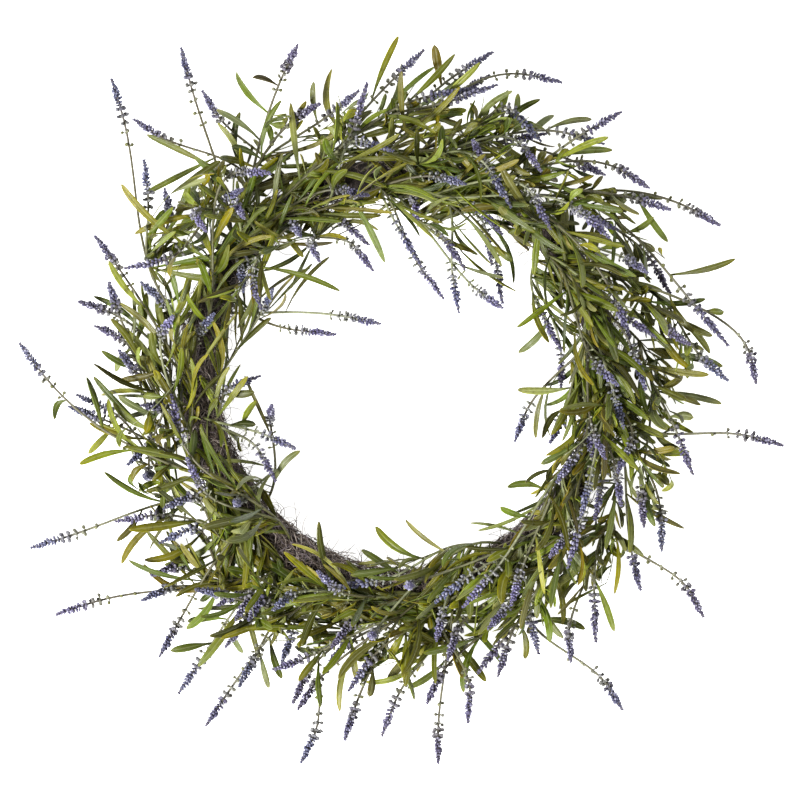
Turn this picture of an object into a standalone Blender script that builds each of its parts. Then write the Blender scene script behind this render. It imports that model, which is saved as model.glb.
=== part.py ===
"""A lavender wreath: sprays of artificial lavender set in a ring of fine dark twigs.

The wreath lies on its flat back at z = 0, centred on the origin, and faces up.
Sizes are in millimetres and become metres where a mesh is made.
Everything flows clockwise: each spray's foot stands in a hole in the ring, and its stalks sweep
forward and outward from there to the flower heads.
"""
import math
import random
from collections import namedtuple

import bmesh
import bpy
from mathutils import Matrix, Vector
from mathutils.bvhtree import BVHTree

MM = 0.001
UP = Vector((0, 0, 1))

# The ring of twigs
RING_CENTRE = Vector((-1, 19, 14))
RING_RADIUS = 164
BUNDLE_RADIUS = 16.5
STRANDS = 3
STRAND_TURNS = 7
STRAND_DEPTH = 1.3
RING_STEPS = 45
RING_SIDES = 8

# Stalks and the holes that their feet stand in
FOOT_DEPTH = 9
FOOT_EXIT = 3
FOOT_THICKNESS = 1.5
STALK_THICKNESS = 1.0
BRANCH_THICKNESS = 1.1
SUNK_THICKNESS = 0.55
HOLE_ROOM = 0.8
FOOT_SHIFT = math.radians(5)
SEAT_SHIFT = math.radians(20)
HEADS_PER_SPRAY = 3
WIDEST = math.radians(22)

# Flower heads: how far along each whorl of florets sits, and how far it stands out
HEAD_LENGTH = 26
WHORLS = ((0.08, 3.4), (0.3, 4.2), (0.54, 3.9), (0.78, 2.9))

# Nodes: how far along a stalk they sit, half their length, and how squarely a side has to face
# what springs from it
MAIN_NODES = (0.12, 0.26, 0.42, 0.6, 0.8)
BRANCH_NODES = (0.2, 0.48, 0.76)
NODE_HALF = 1.1
LEAST_FACING = 0.3

# Leaves: how far along each section sits, and its share of the full width and keel. The last
# one is drawn together into the leaf's blunt end
LEAF_SECTIONS = ((0.42, 1.0, 1.0), (1.0, 0.3, 0))
LEAF_FOOT = 0.28
LEAF_FOLD = 0.3
LEAF_LENGTH = (44, 68)
LEAF_WIDTH = (6.5, 8.5)
LEAF_KEEL = 1.3
LEAF_SPREAD = (0.42, 1.0)
LONGEST_LEAF = 86
NEAREST_NODES = 5

# The stretch inside which the twigs show: no leaf is added there
BARE_ARC = (180, 290)
BARE_REACH = 152

# Room kept round each piece, and from where along a leaf it is kept clear of its own spray
CLEAR = 0.8
OWN_CLEAR = 0.15
OWN_START = 0.12

# The lowest that foliage hangs, the highest that leaves reach, and how often each piece is tried
LOWEST = 1.5
HIGHEST = 100
TRIES = 200

# Each flower head, by where its tip and its neck lie: tip x, tip y, neck x, neck y
OUTER_HEADS = (
    (-233, 260, -226, 236), (-178, 286, -172, 262), (-217, 227, -198, 215),
    (-161, 250, -150, 232), (-206, 195, -203, 168), (-190, 171, -187, 155),
    (-82, 284, -90, 270), (-64, 238, -80, 230), (-33, 250, -52, 235),
    (-27, 256, -36, 224), (19, 283, 0, 265), (75, 282, 52, 268),
    (72, 263, 50, 249), (79, 253, 45, 241), (58, 250, 25, 244),
    (130, 255, 105, 261), (113, 205, 90, 230), (119, 215, 90, 210),
    (177, 232, 152, 218), (164, 205, 137, 213), (163, 180, 148, 188),
    (198, 169, 180, 182), (255, 139, 238, 150), (216, 152, 196, 159),
    (217, 84, 203, 109), (262, 42, 236, 73), (281, 12, 279, 31),
    (261, 15, 245, 29), (229, 44, 215, 54), (305, -36, 281, -29),
    (233, -61, 223, -34), (208, -122, 208, -97), (193, -102, 192, -81),
    (192, -154, 187, -132), (241, -174, 231, -154), (177, -248, 166, -230),
    (155, -196, 154, -162), (135, -210, 134, -192), (110, -205, 104, -179),
    (76, -222, 83, -199), (59, -221, 78, -196), (52, -258, 54, -234),
    (19, -242, 28, -224), (29, -292, 29, -271), (36, -207, 42, -188),
    (-81, -289, -71, -269), (-46, -271, -40, -252), (-17, -270, -7, -244),
    (-88, -243, -79, -224), (-84, -247, -72, -230), (-44, -233, -27, -209),
    (-57, -197, -44, -181), (-59, -209, -46, -197), (-105, -215, -82, -207),
    (-97, -212, -90, -192), (-159, -263, -145, -242), (-130, -228, -121, -211),
    (-181, -237, -166, -215), (-194, -205, -183, -185), (-142, -198, -128, -180),
    (-133, -175, -123, -159), (-123, -176, -113, -160), (-149, -164, -132, -155),
    (-165, -149, -148, -153), (-208, -159, -191, -151), (-278, -171, -254, -163),
    (-202, -140, -185, -134), (-301, -119, -275, -111), (-232, -97, -203, -92),
    (-197, -115, -171, -103), (-191, -86, -171, -77), (-306, 48, -292, 28),
    (-264, 6, -240, -5), (-268, -4, -250, -11), (-209, -3, -194, -5),
    (-220, -52, -207, -40), (-204, -61, -203, -60), (-246, 133, -234, 116),
    (-224, 105, -190, 112), (-234, 96, -230, 80), (-260, 80, -244, 75),
    (-248, 61, -230, 53), (-227, 42, -217, 28), (-210, 96, -195, 83),
)
TOP_HEADS = (
    (-102, 180, -125, 182), (-125, 169, -140, 162), (-124, 143, -131, 155),
    (-154, 133, -164, 147), (-5, 198, -30, 206), (-25, 163, -45, 168),
    (112, 181, 98, 201), (55, 208, 63, 194), (88, 151, 70, 182),
    (52, 171, 33, 177), (119, 134, 106, 160), (175, 135, 143, 150),
    (167, 128, 145, 148), (196, 101, 183, 111), (182, 47, 170, 78),
    (204, 49, 178, 66), (195, 6, 185, 37), (172, 11, 158, 25),
    (177, -24, 170, 1), (170, -59, 181, -37), (152, -49, 149, -26),
    (161, -47, 154, -30), (174, -85, 172, -64), (153, -97, 159, -71),
    (141, -95, 148, -66), (131, -136, 141, -101), (116, -125, 129, -111),
    (121, -66, 134, -49), (27, -191, 31, -175), (24, -162, 49, -142),
    (47, -166, 68, -142), (67, -182, 80, -169), (86, -164, 93, -142),
    (5, -147, 6, -146), (-24, -186, -23, -185), (-103, -166, -91, -156),
    (-68, -133, -56, -146), (-59, -149, -22, -144), (-180, 68, -189, 58),
    (-184, 8, -178, -22), (-172, -43, -162, -65), (-148, 70, -158, 59),
)
INNER_HEADS = (
    (46, 68, 41, 98), (17, 105, -2, 137), (35, 80, 17, 104),
    (52, 103, 33, 131), (81, 73, 66, 84), (81, 75, 76, 109),
    (73, 107, 68, 135), (13, 138, 10, 160), (82, 131, 63, 152),
    (129, 38, 113, 68), (128, 8, 128, 35), (90, -34, 98, -13),
    (117, -35, 126, -19), (-80, 130, -86, 140), (-65, 110, -72, 123),
    (-25, 124, -46, 143), (-22, 103, -36, 122), (-112, 71, -119, 98),
    (-102, 90, -109, 77), (-15, 61, -38, 66), (-50, 53, -78, 56),
    (-111, 21, -138, 11), (-104, -2, -106, -12), (-83, -39, -105, -29),
    (-100, -66, -113, -42), (-126, 85, -129, 108), (-132, -82, -131, -81),
)

# For each kind of head: how far behind its neck the foot lies, how much further back round the
# ring in degrees, where on the bundle the feet sit in degrees from its outer side, how high the
# necks lie, how many leaves each spray gets, and how far out their tips lie
KINDS = (
    (OUTER_HEADS, 95, 9, (15, 75), (10, 56), 6, (140, 255)),
    (TOP_HEADS, 80, 12, (65, 115), (46, 74), 11, (126, 204)),
    (INNER_HEADS, 55, 6, (110, 165), (12, 52), 6, (112, 178)),
)

# Leaves that give the wreath its outline: tip x, tip y, foot x, foot y
OUTLINE_LEAVES = (
    (-204, 213, -157, 183), (-223, 172, -165, 133), (-170, 176, -185, 143),
    (-168, 168, -170, 143), (-147, 196, -125, 183), (-136, 204, -115, 195),
    (-148, 233, -120, 203), (-133, 264, -118, 235), (-119, 259, -115, 230),
    (-77, 240, -75, 210), (-71, 256, -66, 237), (-57, 267, -62, 225),
    (-3, 293, -12, 250), (26, 285, 8, 265), (42, 277, 10, 266),
    (62, 270, 25, 247), (152, 226, 100, 224), (122, 230, 105, 212),
    (93, 246, 80, 218), (265, 113, 208, 105), (201, 147, 175, 132),
    (189, 149, 168, 151), (256, 71, 220, 92), (247, 52, 215, 57),
    (232, 55, 212, 64), (257, 28, 225, 40), (245, 21, 205, 30),
    (230, 26, 203, 48), (225, 20, 200, 32), (256, -2, 208, 18),
    (239, -3, 215, 8), (232, -13, 220, -2), (222, -38, 203, -18),
    (221, -58, 188, -33), (213, -67, 195, -60), (226, -102, 200, -68),
    (204, -86, 195, -65), (202, -100, 180, -75), (193, -124, 180, -95),
    (182, -121, 175, -95), (176, -125, 165, -100), (160, -131, 160, -105),
    (148, -153, 150, -130), (169, -183, 158, -150), (132, -165, 122, -140),
    (129, -190, 120, -155), (122, -184, 105, -170), (118, -192, 115, -165),
    (99, -207, 90, -188), (90, -218, 83, -200), (49, -233, 58, -200),
    (48, -221, 43, -197), (12, -218, 28, -195), (5, -230, 30, -210),
    (10, -238, -15, -204), (-3, -209, 20, -196), (-10, -205, -2, -185),
    (-26, -235, -20, -212), (-50, -248, -22, -210), (-36, -223, -35, -200),
    (-65, -243, -52, -225), (-70, -190, -55, -182), (-86, -198, -67, -195),
    (-82, -222, -80, -195), (-97, -223, -92, -205), (-106, -228, -102, -205),
    (-128, -202, -130, -180), (-162, -211, -137, -175), (-185, -200, -160, -190),
    (-172, -177, -138, -168), (-172, -182, -145, -173), (-162, -161, -145, -157),
    (-181, -157, -168, -150), (-217, -127, -180, -134), (-184, -128, -160, -133),
    (-223, -129, -190, -115), (-205, -127, -180, -112), (-228, -112, -195, -102),
    (-216, -102, -185, -104), (-211, -72, -190, -65), (-198, -63, -193, -42),
    (-256, -50, -215, -41), (-251, -42, -222, -28), (-250, -18, -217, -40),
    (-278, -14, -250, -17), (-226, 4, -213, -15), (-231, -2, -205, -12),
    (-224, 17, -190, 27), (-240, 40, -210, 33), (-230, 24, -205, 33),
    (-50, 88, -108, 92), (-105, 66, -130, 57), (-79, 115, -95, 130),
    (-14, 111, -32, 155), (92, 59, 123, 94), (94, 39, 112, 70),
    (88, 112, 80, 137), (105, 101, 98, 131), (93, 9, 125, 6),
    (112, -29, 127, -3), (111, -50, 139, -42), (84, -68, 119, -70),
    (78, -84, 95, -89), (3, -95, 33, -130), (-21, -101, 21, -130),
    (-32, -119, -11, -140), (-82, -40, -111, -66), (-118, 7, -133, 5),
    (-117, 0, -130, -16), (-117, -19, -135, -16), (-66, -96, -67, -118),
)

COLOURS = {
    "twigs": (0.045, 0.032, 0.027),
    "leaf": (0.12, 0.18, 0.042),
    "floret": (0.13, 0.12, 0.32),
}


def material(name, roughness):
    """A plain material in one of the wreath's colours."""
    paint = bpy.data.materials.new(name)
    paint.use_nodes = True
    shader = paint.node_tree.nodes["Principled BSDF"]
    shader.inputs["Base Color"].default_value = (*COLOURS[name], 1)
    shader.inputs["Roughness"].default_value = roughness
    shader.inputs["Metallic"].default_value = 0
    paint.diffuse_color = (*COLOURS[name], 1)
    return paint


def add_object(name, shape, paints, collection):
    """Turn a shape in millimetres into an object in metres."""
    bmesh.ops.scale(shape, vec=(MM, MM, MM), verts=shape.verts)
    mesh = bpy.data.meshes.new(name)
    shape.to_mesh(mesh)
    shape.free()
    for paint in paints:
        mesh.materials.append(paint)
    piece = bpy.data.objects.new(name, mesh)
    collection.objects.link(piece)
    return piece


def directions(angle):
    """The outward and the clockwise direction at an angle round the ring."""
    outward = Vector((math.cos(angle), math.sin(angle), 0))
    clockwise = Vector((math.sin(angle), -math.cos(angle), 0))
    return outward, clockwise


def bundle_point(angle, turn):
    """A point on the bundle's surface, where strands wind round it."""
    outward, _ = directions(angle)
    swelling = STRAND_DEPTH * math.cos(STRANDS * turn + STRAND_TURNS * angle)
    radius = BUNDLE_RADIUS + swelling
    across = outward * (RING_RADIUS + radius * math.cos(turn))
    return RING_CENTRE + across + UP * radius * math.sin(turn)


def ring_shape():
    """The bundle of twigs: a wound ring whose underside is flat."""
    shape = bmesh.new()
    profile = bmesh.ops.create_circle(shape, radius=BUNDLE_RADIUS, segments=RING_SIDES)["verts"]
    half_side = math.pi / RING_SIDES
    stand = Matrix.Rotation(math.pi / 2, 3, "X") @ Matrix.Rotation(half_side, 3, "Z")
    bmesh.ops.rotate(shape, matrix=stand, verts=profile)
    bmesh.ops.translate(shape, vec=(RING_RADIUS, 0, 0), verts=profile)
    bmesh.ops.spin(shape, geom=shape.verts[:] + shape.edges[:], axis=UP, cent=(0, 0, 0),
                   angle=2 * math.pi, steps=RING_STEPS, use_merge=True)
    for vert in shape.verts:
        angle = math.atan2(vert.co.y, vert.co.x)
        turn = math.atan2(vert.co.z, math.hypot(vert.co.x, vert.co.y) - RING_RADIUS)
        vert.co = bundle_point(angle, turn)
        vert.co.z = max(vert.co.z, 0)
    bmesh.ops.triangulate(shape, faces=shape.faces)
    bmesh.ops.recalc_face_normals(shape, faces=shape.faces)
    return shape


def extend(shape, corners, points):
    """Extrude an end face, given by its corners, to the next ring of points."""
    end = shape.faces.get(corners)
    grown = bmesh.ops.extrude_face_region(shape, geom=[end])["geom"]
    fresh = {item for item in grown if isinstance(item, bmesh.types.BMVert)}
    if any(len(edge.link_faces) > 2 for edge in end.edges):
        shape.faces.remove(end)
    moved = []
    for corner, point in zip(corners, points):
        vert = next(edge.other_vert(corner) for edge in corner.link_edges
                    if edge.other_vert(corner) in fresh)
        vert.co = point
        moved.append(vert)
    return moved


def close(shape, corners, tip):
    """Draw the middle of an end face out into a tip."""
    middle = bmesh.ops.poke(shape, faces=[shape.faces.get(corners)])["verts"][0]
    middle.co = tip


def finish(shape):
    """Split the faces into triangles that point outwards."""
    bmesh.ops.triangulate(shape, faces=shape.faces, quad_method="SHORT_EDGE")
    bmesh.ops.recalc_face_normals(shape, faces=shape.faces)
    return shape


def loft(rings, tip=None):
    """A closed shape through rings of three points, ending in a point where a tip is given."""
    shape = bmesh.new()
    corners = [shape.verts.new(point) for point in rings[0]]
    shape.faces.new(corners)
    for ring in rings[1:]:
        corners = extend(shape, corners, ring)
    if tip is not None:
        close(shape, corners, tip)
    return finish(shape)


def triangle(centre, along, side, radius, turned=False):
    """Three points round a stalk, square to its direction."""
    side = (side - along * side.dot(along)).normalized()
    third = along.cross(side)
    start = math.pi / 3 if turned else 0
    spokes = [start + corner * 2 * math.pi / 3 for corner in range(3)]
    ring = [centre + (side * math.cos(a) + third * math.sin(a)) * radius for a in spokes]
    return ring, side


def bezier(ends, share):
    """The point and the direction a share of the way along a curve."""
    a, b, c, d = ends
    rest = 1 - share
    point = a * rest ** 3 + b * 3 * share * rest ** 2 + c * 3 * share ** 2 * rest + d * share ** 3
    slope = (b - a) * rest ** 2 + (c - b) * 2 * share * rest + (d - c) * share ** 2
    return point, slope.normalized()


class Stalk:
    """One flower stalk: its curve, the nodes that leaves spring from, and the head at its end."""

    def __init__(self, head, level, start, heading, main):
        tip_x, tip_y, neck_x, neck_y = head
        plan = math.hypot(tip_x - neck_x, tip_y - neck_y)
        rise = math.sqrt(max(0, HEAD_LENGTH ** 2 - plan ** 2))
        self.neck = Vector((neck_x, neck_y, level))
        self.tip = Vector((tip_x, tip_y, level + rise))
        self.axis = (self.tip - self.neck).normalized()
        self.main = main
        self.start = start
        self.heading = heading
        self.grown = []
        reach = (self.neck - start).length
        self.curve = (start, start + heading * reach * 0.38, self.neck - self.axis * reach * 0.38,
                      self.neck)

    def shares(self):
        """How far along the stalk its nodes sit."""
        return MAIN_NODES if self.main else BRANCH_NODES

    def thickness(self, share):
        """How far the stalk's corners stand from its middle."""
        foot = FOOT_THICKNESS if self.main else BRANCH_THICKNESS
        return foot + (STALK_THICKNESS - foot) * share

    def stations(self, swell=0):
        """The rings along the stalk, each with its node or None, then those of the head."""
        side = self.heading.orthogonal()
        stations = []
        if self.main:
            foot = self.start - self.heading * (FOOT_DEPTH + FOOT_EXIT)
            ring, side = triangle(foot, self.heading, side, FOOT_THICKNESS + swell)
            stations.append((ring, None))
            ring, side = triangle(self.start, self.heading, side, FOOT_THICKNESS + swell)
            stations.append((ring, None))
        used = {node for node, _, _ in self.grown}
        for node, share in enumerate(self.shares()):
            point, along = bezier(self.curve, share)
            for offset in (-NODE_HALF, NODE_HALF) if node in used else (0,):
                ring, side = triangle(point + along * offset, along, side,
                                      self.thickness(share) + swell)
                stations.append((ring, node))
        ring, side = triangle(self.neck, self.axis, side, STALK_THICKNESS + swell)
        stations.append((ring, None))
        for number, (share, radius) in enumerate(WHORLS):
            centre = self.neck.lerp(self.tip, share)
            ring, _ = triangle(centre, self.axis, side, radius + swell, number % 2 == 1)
            stations.append((ring, None))
        return stations

    def room(self, swell, first):
        """A loose copy of the stalk and its head, swollen, to look for room with."""
        rings = [ring for ring, _ in self.stations(swell)]
        if not self.main:
            ring, _ = triangle(self.start, self.heading, self.heading.orthogonal(), SUNK_THICKNESS)
            rings.insert(0, ring)
        return loft(rings[first:], self.tip + self.axis * swell)

    def sides(self, node):
        """The direction that each of the three sides faces at a node."""
        ring = next(ring for ring, own in self.stations() if own == node)
        middle = sum(ring, Vector()) / 3
        return [(ring[side] + ring[(side + 1) % 3] - 2 * middle).normalized() for side in range(3)]

    def free_side(self, node, direction):
        """The free side at a node that faces a direction, or None."""
        taken = {side for own, side, _ in self.grown if own == node}
        facing = [(normal.dot(direction), side) for side, normal in enumerate(self.sides(node))
                  if side not in taken]
        best = max(facing, default=(0, None))
        return best[1] if best[0] > LEAST_FACING else None

    def grow(self, shape, corners):
        """Grow the stalk from a face of the shape, with all that springs from it."""
        nodes = {}
        stations = self.stations()
        if corners is None:
            corners = [shape.verts.new(point) for point in stations.pop(0)[0]]
            shape.faces.new(corners)
        else:
            corners = match(corners, stations[0][0])
        for number, (ring, node) in enumerate(stations):
            if number == len(stations) - len(WHORLS):
                green = set(shape.faces)
            corners = extend(shape, corners, ring)
            if node is not None:
                nodes.setdefault(node, []).append(corners)
        close(shape, corners, self.tip)
        for face in set(shape.faces) - green:
            face.material_index = 1
        for node, side, piece in self.grown:
            lower, upper = nodes[node]
            after = (side + 1) % 3
            panel = shape.faces.get([lower[side], lower[after], upper[after], upper[side]])
            bmesh.utils.face_split(panel, lower[side], upper[after])
            base = [lower[side], lower[after], upper[after]]
            piece.grow(shape, base)


def match(corners, ring):
    """Turn a face's corners round so that they lie nearest to the points of a ring."""
    turns = [corners[first:] + corners[:first] for first in range(3)]
    return min(turns, key=lambda turn: sum((corner.co - point).length_squared
                                           for corner, point in zip(turn, ring)))


class Leaf:
    """One narrow leaf, keeled underneath, from its foot on a stalk to its tip."""

    def __init__(self, foot, tip, width, bow, roll):
        self.foot = foot
        self.tip = tip
        self.width = width
        self.bow = bow
        self.along = (tip - foot).normalized()
        flat = self.along.cross(UP)
        if flat.length < 0.2:
            flat = self.along.orthogonal()
        self.side = Matrix.Rotation(roll, 3, self.along) @ flat.normalized()
        self.face = self.side.cross(self.along)

    def section(self, share, breadth, depth, swell=0):
        """Three points across the leaf, in order round its direction."""
        middle = self.foot.lerp(self.tip, share) + self.bow * (4 * share * (1 - share))
        half = self.width / 2 * breadth + swell
        top = self.face * (swell + LEAF_FOLD * breadth)
        keel = self.face * (LEAF_KEEL * depth + 2 * swell)
        return [middle - self.side * half + top, middle + self.side * half + top, middle - keel]

    def rings(self, swell=0):
        """The sections along the leaf."""
        return [self.section(*shares, swell) for shares in LEAF_SECTIONS]

    def room(self, swell, share):
        """A loose copy of the leaf from a share of its length on, swollen."""
        first = self.section(share, LEAF_FOOT + share * 2, 0.7, swell)
        return loft([first] + self.rings(swell))

    def grow(self, shape, corners):
        """Grow the leaf from a face of the shape, its end drawn together into an edge."""
        corners = match(corners, self.rings()[0])
        for ring in self.rings():
            corners = extend(shape, corners, ring)
        end = corners[0].co.copy()
        bmesh.ops.pointmerge(shape, verts=[corners[0], corners[2]], merge_co=end)


def bounds(shape):
    """The lowest and the highest corner of a shape's box."""
    points = [vert.co for vert in shape.verts]
    low = [min(point[axis] for point in points) for axis in range(3)]
    high = [max(point[axis] for point in points) for axis in range(3)]
    return low, high


class Garden:
    """All that has been placed so far: the ring under None, the rest under its spray's number."""

    def __init__(self, ring):
        self.pieces = {None: [(*bounds(ring), BVHTree.FromBMesh(ring))]}

    def add(self, spray, shape):
        """Remember a placed shape, which is used up."""
        self.pieces.setdefault(spray, []).append((*bounds(shape), BVHTree.FromBMesh(shape)))
        shape.free()

    def others(self, spray):
        """Every other spray."""
        return [key for key in self.pieces if key not in (None, spray)]

    def touches(self, shape, sprays):
        """Whether a shape touches any piece of some sprays. The shape is used up."""
        low, high = bounds(shape)
        own = BVHTree.FromBMesh(shape)
        shape.free()
        for spray in sprays:
            for piece_low, piece_high, tree in self.pieces.get(spray, []):
                if all(piece_low[axis] < high[axis] and low[axis] < piece_high[axis]
                       for axis in range(3)) and tree.overlap(own):
                    return True
        return False


# A spray's heads, the angle and the seat of its foot, its heights, leaves and their reach
Plan = namedtuple("Plan", "heads angle seat levels leaves reach")


def foot_angle(head, behind, further):
    """Where round the ring a head's stalk comes from."""
    tip_x, tip_y, neck_x, neck_y = head
    back = Vector((neck_x - tip_x, neck_y - tip_y, 0)).normalized() * behind
    place = Vector((neck_x, neck_y, 0)) + back - RING_CENTRE
    return math.atan2(place.y, place.x) + math.radians(further)


def spray_plans():
    """What each spray is to be."""
    plans = []
    for heads, behind, further, seats, levels, leaves, reach in KINDS:
        groups = []
        for angle, head in sorted((foot_angle(head, behind, further), head) for head in heads):
            if groups and len(groups[-1]) < HEADS_PER_SPRAY and angle < groups[-1][0][0] + WIDEST:
                groups[-1].append((angle, head))
            else:
                groups.append([(angle, head)])
        for number, group in enumerate(groups):
            angle = sum(own for own, _ in group) / len(group)
            seat = math.radians(seats[number % 2])
            surface = bundle_point(angle, seat)
            farthest_first = sorted((head for _, head in group),
                                    key=lambda head: -math.dist(head[2:], surface[:2]))
            plans.append(Plan(farthest_first, angle, seat, levels, leaves, reach))
    return plans


def around(along, chance):
    """A direction square to another, turned by chance."""
    turn = Matrix.Rotation(chance.uniform(0, 2 * math.pi), 3, along.normalized())
    return turn @ along.orthogonal().normalized()


def main_stalk(plan, chance):
    """A way for a spray's longest stalk to leave the ring."""
    angle = plan.angle + chance.uniform(-FOOT_SHIFT, FOOT_SHIFT)
    seat = plan.seat + chance.uniform(-SEAT_SHIFT, SEAT_SHIFT)
    level = chance.uniform(*plan.levels)
    outward, clockwise = directions(angle)
    normal = outward * math.cos(seat) + UP * math.sin(seat)
    surface = bundle_point(angle, seat)
    toward = (Vector((*plan.heads[0][2:], level)) - surface).normalized()
    heading = normal * 0.7 + clockwise * 0.3 + toward * 0.5
    heading = (heading + around(heading, chance) * chance.uniform(0, 0.5)).normalized()
    return Stalk(plan.heads[0], level, surface + heading * FOOT_EXIT, heading, True)


def branch_stalk(head, stem, levels, chance):
    """A way for another stalk to leave the longest one, and the node that it leaves from."""
    node = chance.randrange(len(MAIN_NODES) // 2)
    level = chance.uniform(*levels)
    start, along = bezier(stem.curve, MAIN_NODES[node])
    toward = (Vector((*head[2:], level)) - start).normalized()
    heading = (along + toward * 0.5 + around(along, chance) * 0.7).normalized()
    return Stalk(head, level, start, heading, False), node


def place_stalks(number, plan, garden):
    """The spray's stalks, the longest of which carries the others."""
    stalks = []
    for order, head in enumerate(plan.heads):
        for attempt in range(TRIES):
            chance = random.Random(f"stalk {number} {order} {attempt}")
            if order == 0:
                stalk = main_stalk(plan, chance)
                side = node = None
                first = 2
            else:
                stalk, node = branch_stalk(head, stalks[0], plan.levels, chance)
                leaving = bezier(stalk.curve, BRANCH_NODES[0])[0] - stalk.start
                side = stalks[0].free_side(node, leaving.normalized())
                first = 1
                if side is None:
                    continue
            if min(point.z for ring, _ in stalk.stations()[1:] for point in ring) < LOWEST:
                continue
            if garden.touches(stalk.room(CLEAR, first), [None, number]):
                continue
            if garden.touches(stalk.room(CLEAR, 0), garden.others(number)):
                continue
            if order > 0:
                stalks[0].grown.append((node, side, stalk))
            stalks.append(stalk)
            garden.add(number, stalk.room(0, 0))
            break
    return stalks


def outline_leaf(ends, stalk, share, chance):
    """A way for a leaf to reach a place on the outline from a node."""
    foot, _ = bezier(stalk.curve, share)
    tip = Vector((*ends[:2], foot.z + chance.uniform(-16, 26)))
    return chance_leaf(foot, tip, chance)


def filling_leaf(stalk, share, chance):
    """A way for a leaf to spread from a node."""
    foot, along = bezier(stalk.curve, share)
    spread = chance.uniform(*LEAF_SPREAD)
    away = along * math.cos(spread) + around(along, chance) * math.sin(spread)
    return chance_leaf(foot, foot + away * chance.uniform(*LEAF_LENGTH), chance)


def chance_leaf(foot, tip, chance):
    """A leaf between two places, with its width, bow and roll left to chance."""
    bow = UP * chance.uniform(-2, 6)
    return Leaf(foot, tip, chance.uniform(*LEAF_WIDTH), bow, chance.uniform(-0.8, 0.8))


def in_reach(tip, reach):
    """Whether a filling leaf's tip keeps to the wreath and off the stretch where twigs show."""
    out = tip - RING_CENTRE
    radius = math.hypot(out.x, out.y)
    angle = math.degrees(math.atan2(out.y, out.x)) % 360
    bare = BARE_ARC[0] < angle < BARE_ARC[1] and radius < BARE_REACH
    return reach[0] < radius < reach[1] and not bare


def settle(leaf, stalk, node, number, garden):
    """Add a leaf to a stalk's node if it has a free side there and room all round."""
    side = stalk.free_side(node, leaf.along)
    if side is None or not LOWEST < leaf.tip.z < HIGHEST:
        return False
    if min(point.z for ring in leaf.rings() for point in ring) < LOWEST:
        return False
    if garden.touches(leaf.room(CLEAR, 0), [None] + garden.others(number)):
        return False
    if garden.touches(leaf.room(OWN_CLEAR, OWN_START), [number]):
        return False
    stalk.grown.append((node, side, leaf))
    garden.add(number, leaf.room(0, 0))
    return True


def outline_leaves(sprays, garden):
    """Place the leaves that give the wreath its outline, each on one of the nearest nodes."""
    places = [(number, stalk, node, share) for number, stalks in enumerate(sprays)
              for stalk in stalks for node, share in enumerate(stalk.shares())]
    spots = [bezier(stalk.curve, share)[0] for _, stalk, _, share in places]
    for order, ends in enumerate(OUTLINE_LEAVES):
        ranked = sorted(range(len(places)), key=lambda index: math.dist(ends[2:], spots[index][:2]))
        for rank in range(NEAREST_NODES * TRIES):
            number, stalk, node, share = places[ranked[rank % NEAREST_NODES]]
            chance = random.Random(f"outline {order} {rank}")
            leaf = outline_leaf(ends, stalk, share, chance)
            short = (leaf.tip - leaf.foot).length < LONGEST_LEAF
            if short and settle(leaf, stalk, node, number, garden):
                break


def filling_leaves(number, plan, stalks, garden):
    """Place a spray's other leaves, anywhere but on the nodes next to its heads."""
    for order in range(plan.leaves):
        for attempt in range(TRIES):
            chance = random.Random(f"leaf {number} {order} {attempt}")
            stalk = chance.choice(stalks)
            node = chance.randrange(len(stalk.shares()) - 1)
            leaf = filling_leaf(stalk, stalk.shares()[node], chance)
            if in_reach(leaf.tip, plan.reach) and settle(leaf, stalk, node, number, garden):
                break


def bore_holes(ring_piece, sprays, scene):
    """Cut the holes that the sprays' feet stand in: one Boolean on all of them, applied."""
    holes = bpy.data.collections.new("holes")
    scene.children.link(holes)
    for stalks in sprays:
        stem = stalks[0]
        rings = []
        for depth in (-FOOT_DEPTH - FOOT_EXIT - CLEAR, FOOT_EXIT):
            ring, _ = triangle(stem.start + stem.heading * depth, stem.heading,
                               stem.heading.orthogonal(), FOOT_THICKNESS + HOLE_ROOM)
            rings.append(ring)
        add_object("hole", loft(rings), [], holes)
    cut = ring_piece.modifiers.new("holes", "BOOLEAN")
    cut.operation = "DIFFERENCE"
    cut.solver = "MANIFOLD"
    cut.operand_type = "COLLECTION"
    cut.collection = holes
    graph = bpy.context.evaluated_depsgraph_get()
    bored = bpy.data.meshes.new_from_object(ring_piece.evaluated_get(graph))
    ring_piece.modifiers.remove(cut)
    ring_piece.data = bored
    for hole in list(holes.objects):
        bpy.data.objects.remove(hole)
    bpy.data.collections.remove(holes)


def make_wreath():
    """Set the sprays in the ring."""
    for item in list(bpy.data.objects):
        bpy.data.objects.remove(item)
    scene = bpy.context.scene.collection
    greens = [material("leaf", 0.6), material("floret", 0.8)]
    ring = ring_shape()
    garden = Garden(ring)
    plans = spray_plans()
    sprays = [place_stalks(number, plan, garden) for number, plan in enumerate(plans)]
    outline_leaves(sprays, garden)
    for number, (plan, stalks) in enumerate(zip(plans, sprays)):
        filling_leaves(number, plan, stalks, garden)
    for number, stalks in enumerate(sprays, start=1):
        shape = bmesh.new()
        stalks[0].grow(shape, None)
        add_object(f"spray_{number:02d}", finish(shape), greens, scene)
    bore_holes(add_object("twig_ring", ring, [material("twigs", 0.9)], scene), sprays, scene)


make_wreath()
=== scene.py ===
"""A lavender wreath: sprays of artificial lavender set in a ring of fine dark rootlets.

It lies on its flat back and faces up. Sizes are in millimetres and become metres where a mesh is
made. Everything sweeps clockwise, from the foot of each spray to its flower heads.
"""
import math
import random
from collections import namedtuple

import bmesh
import bpy
from mathutils import Matrix, Vector, noise
from mathutils.kdtree import KDTree


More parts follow.
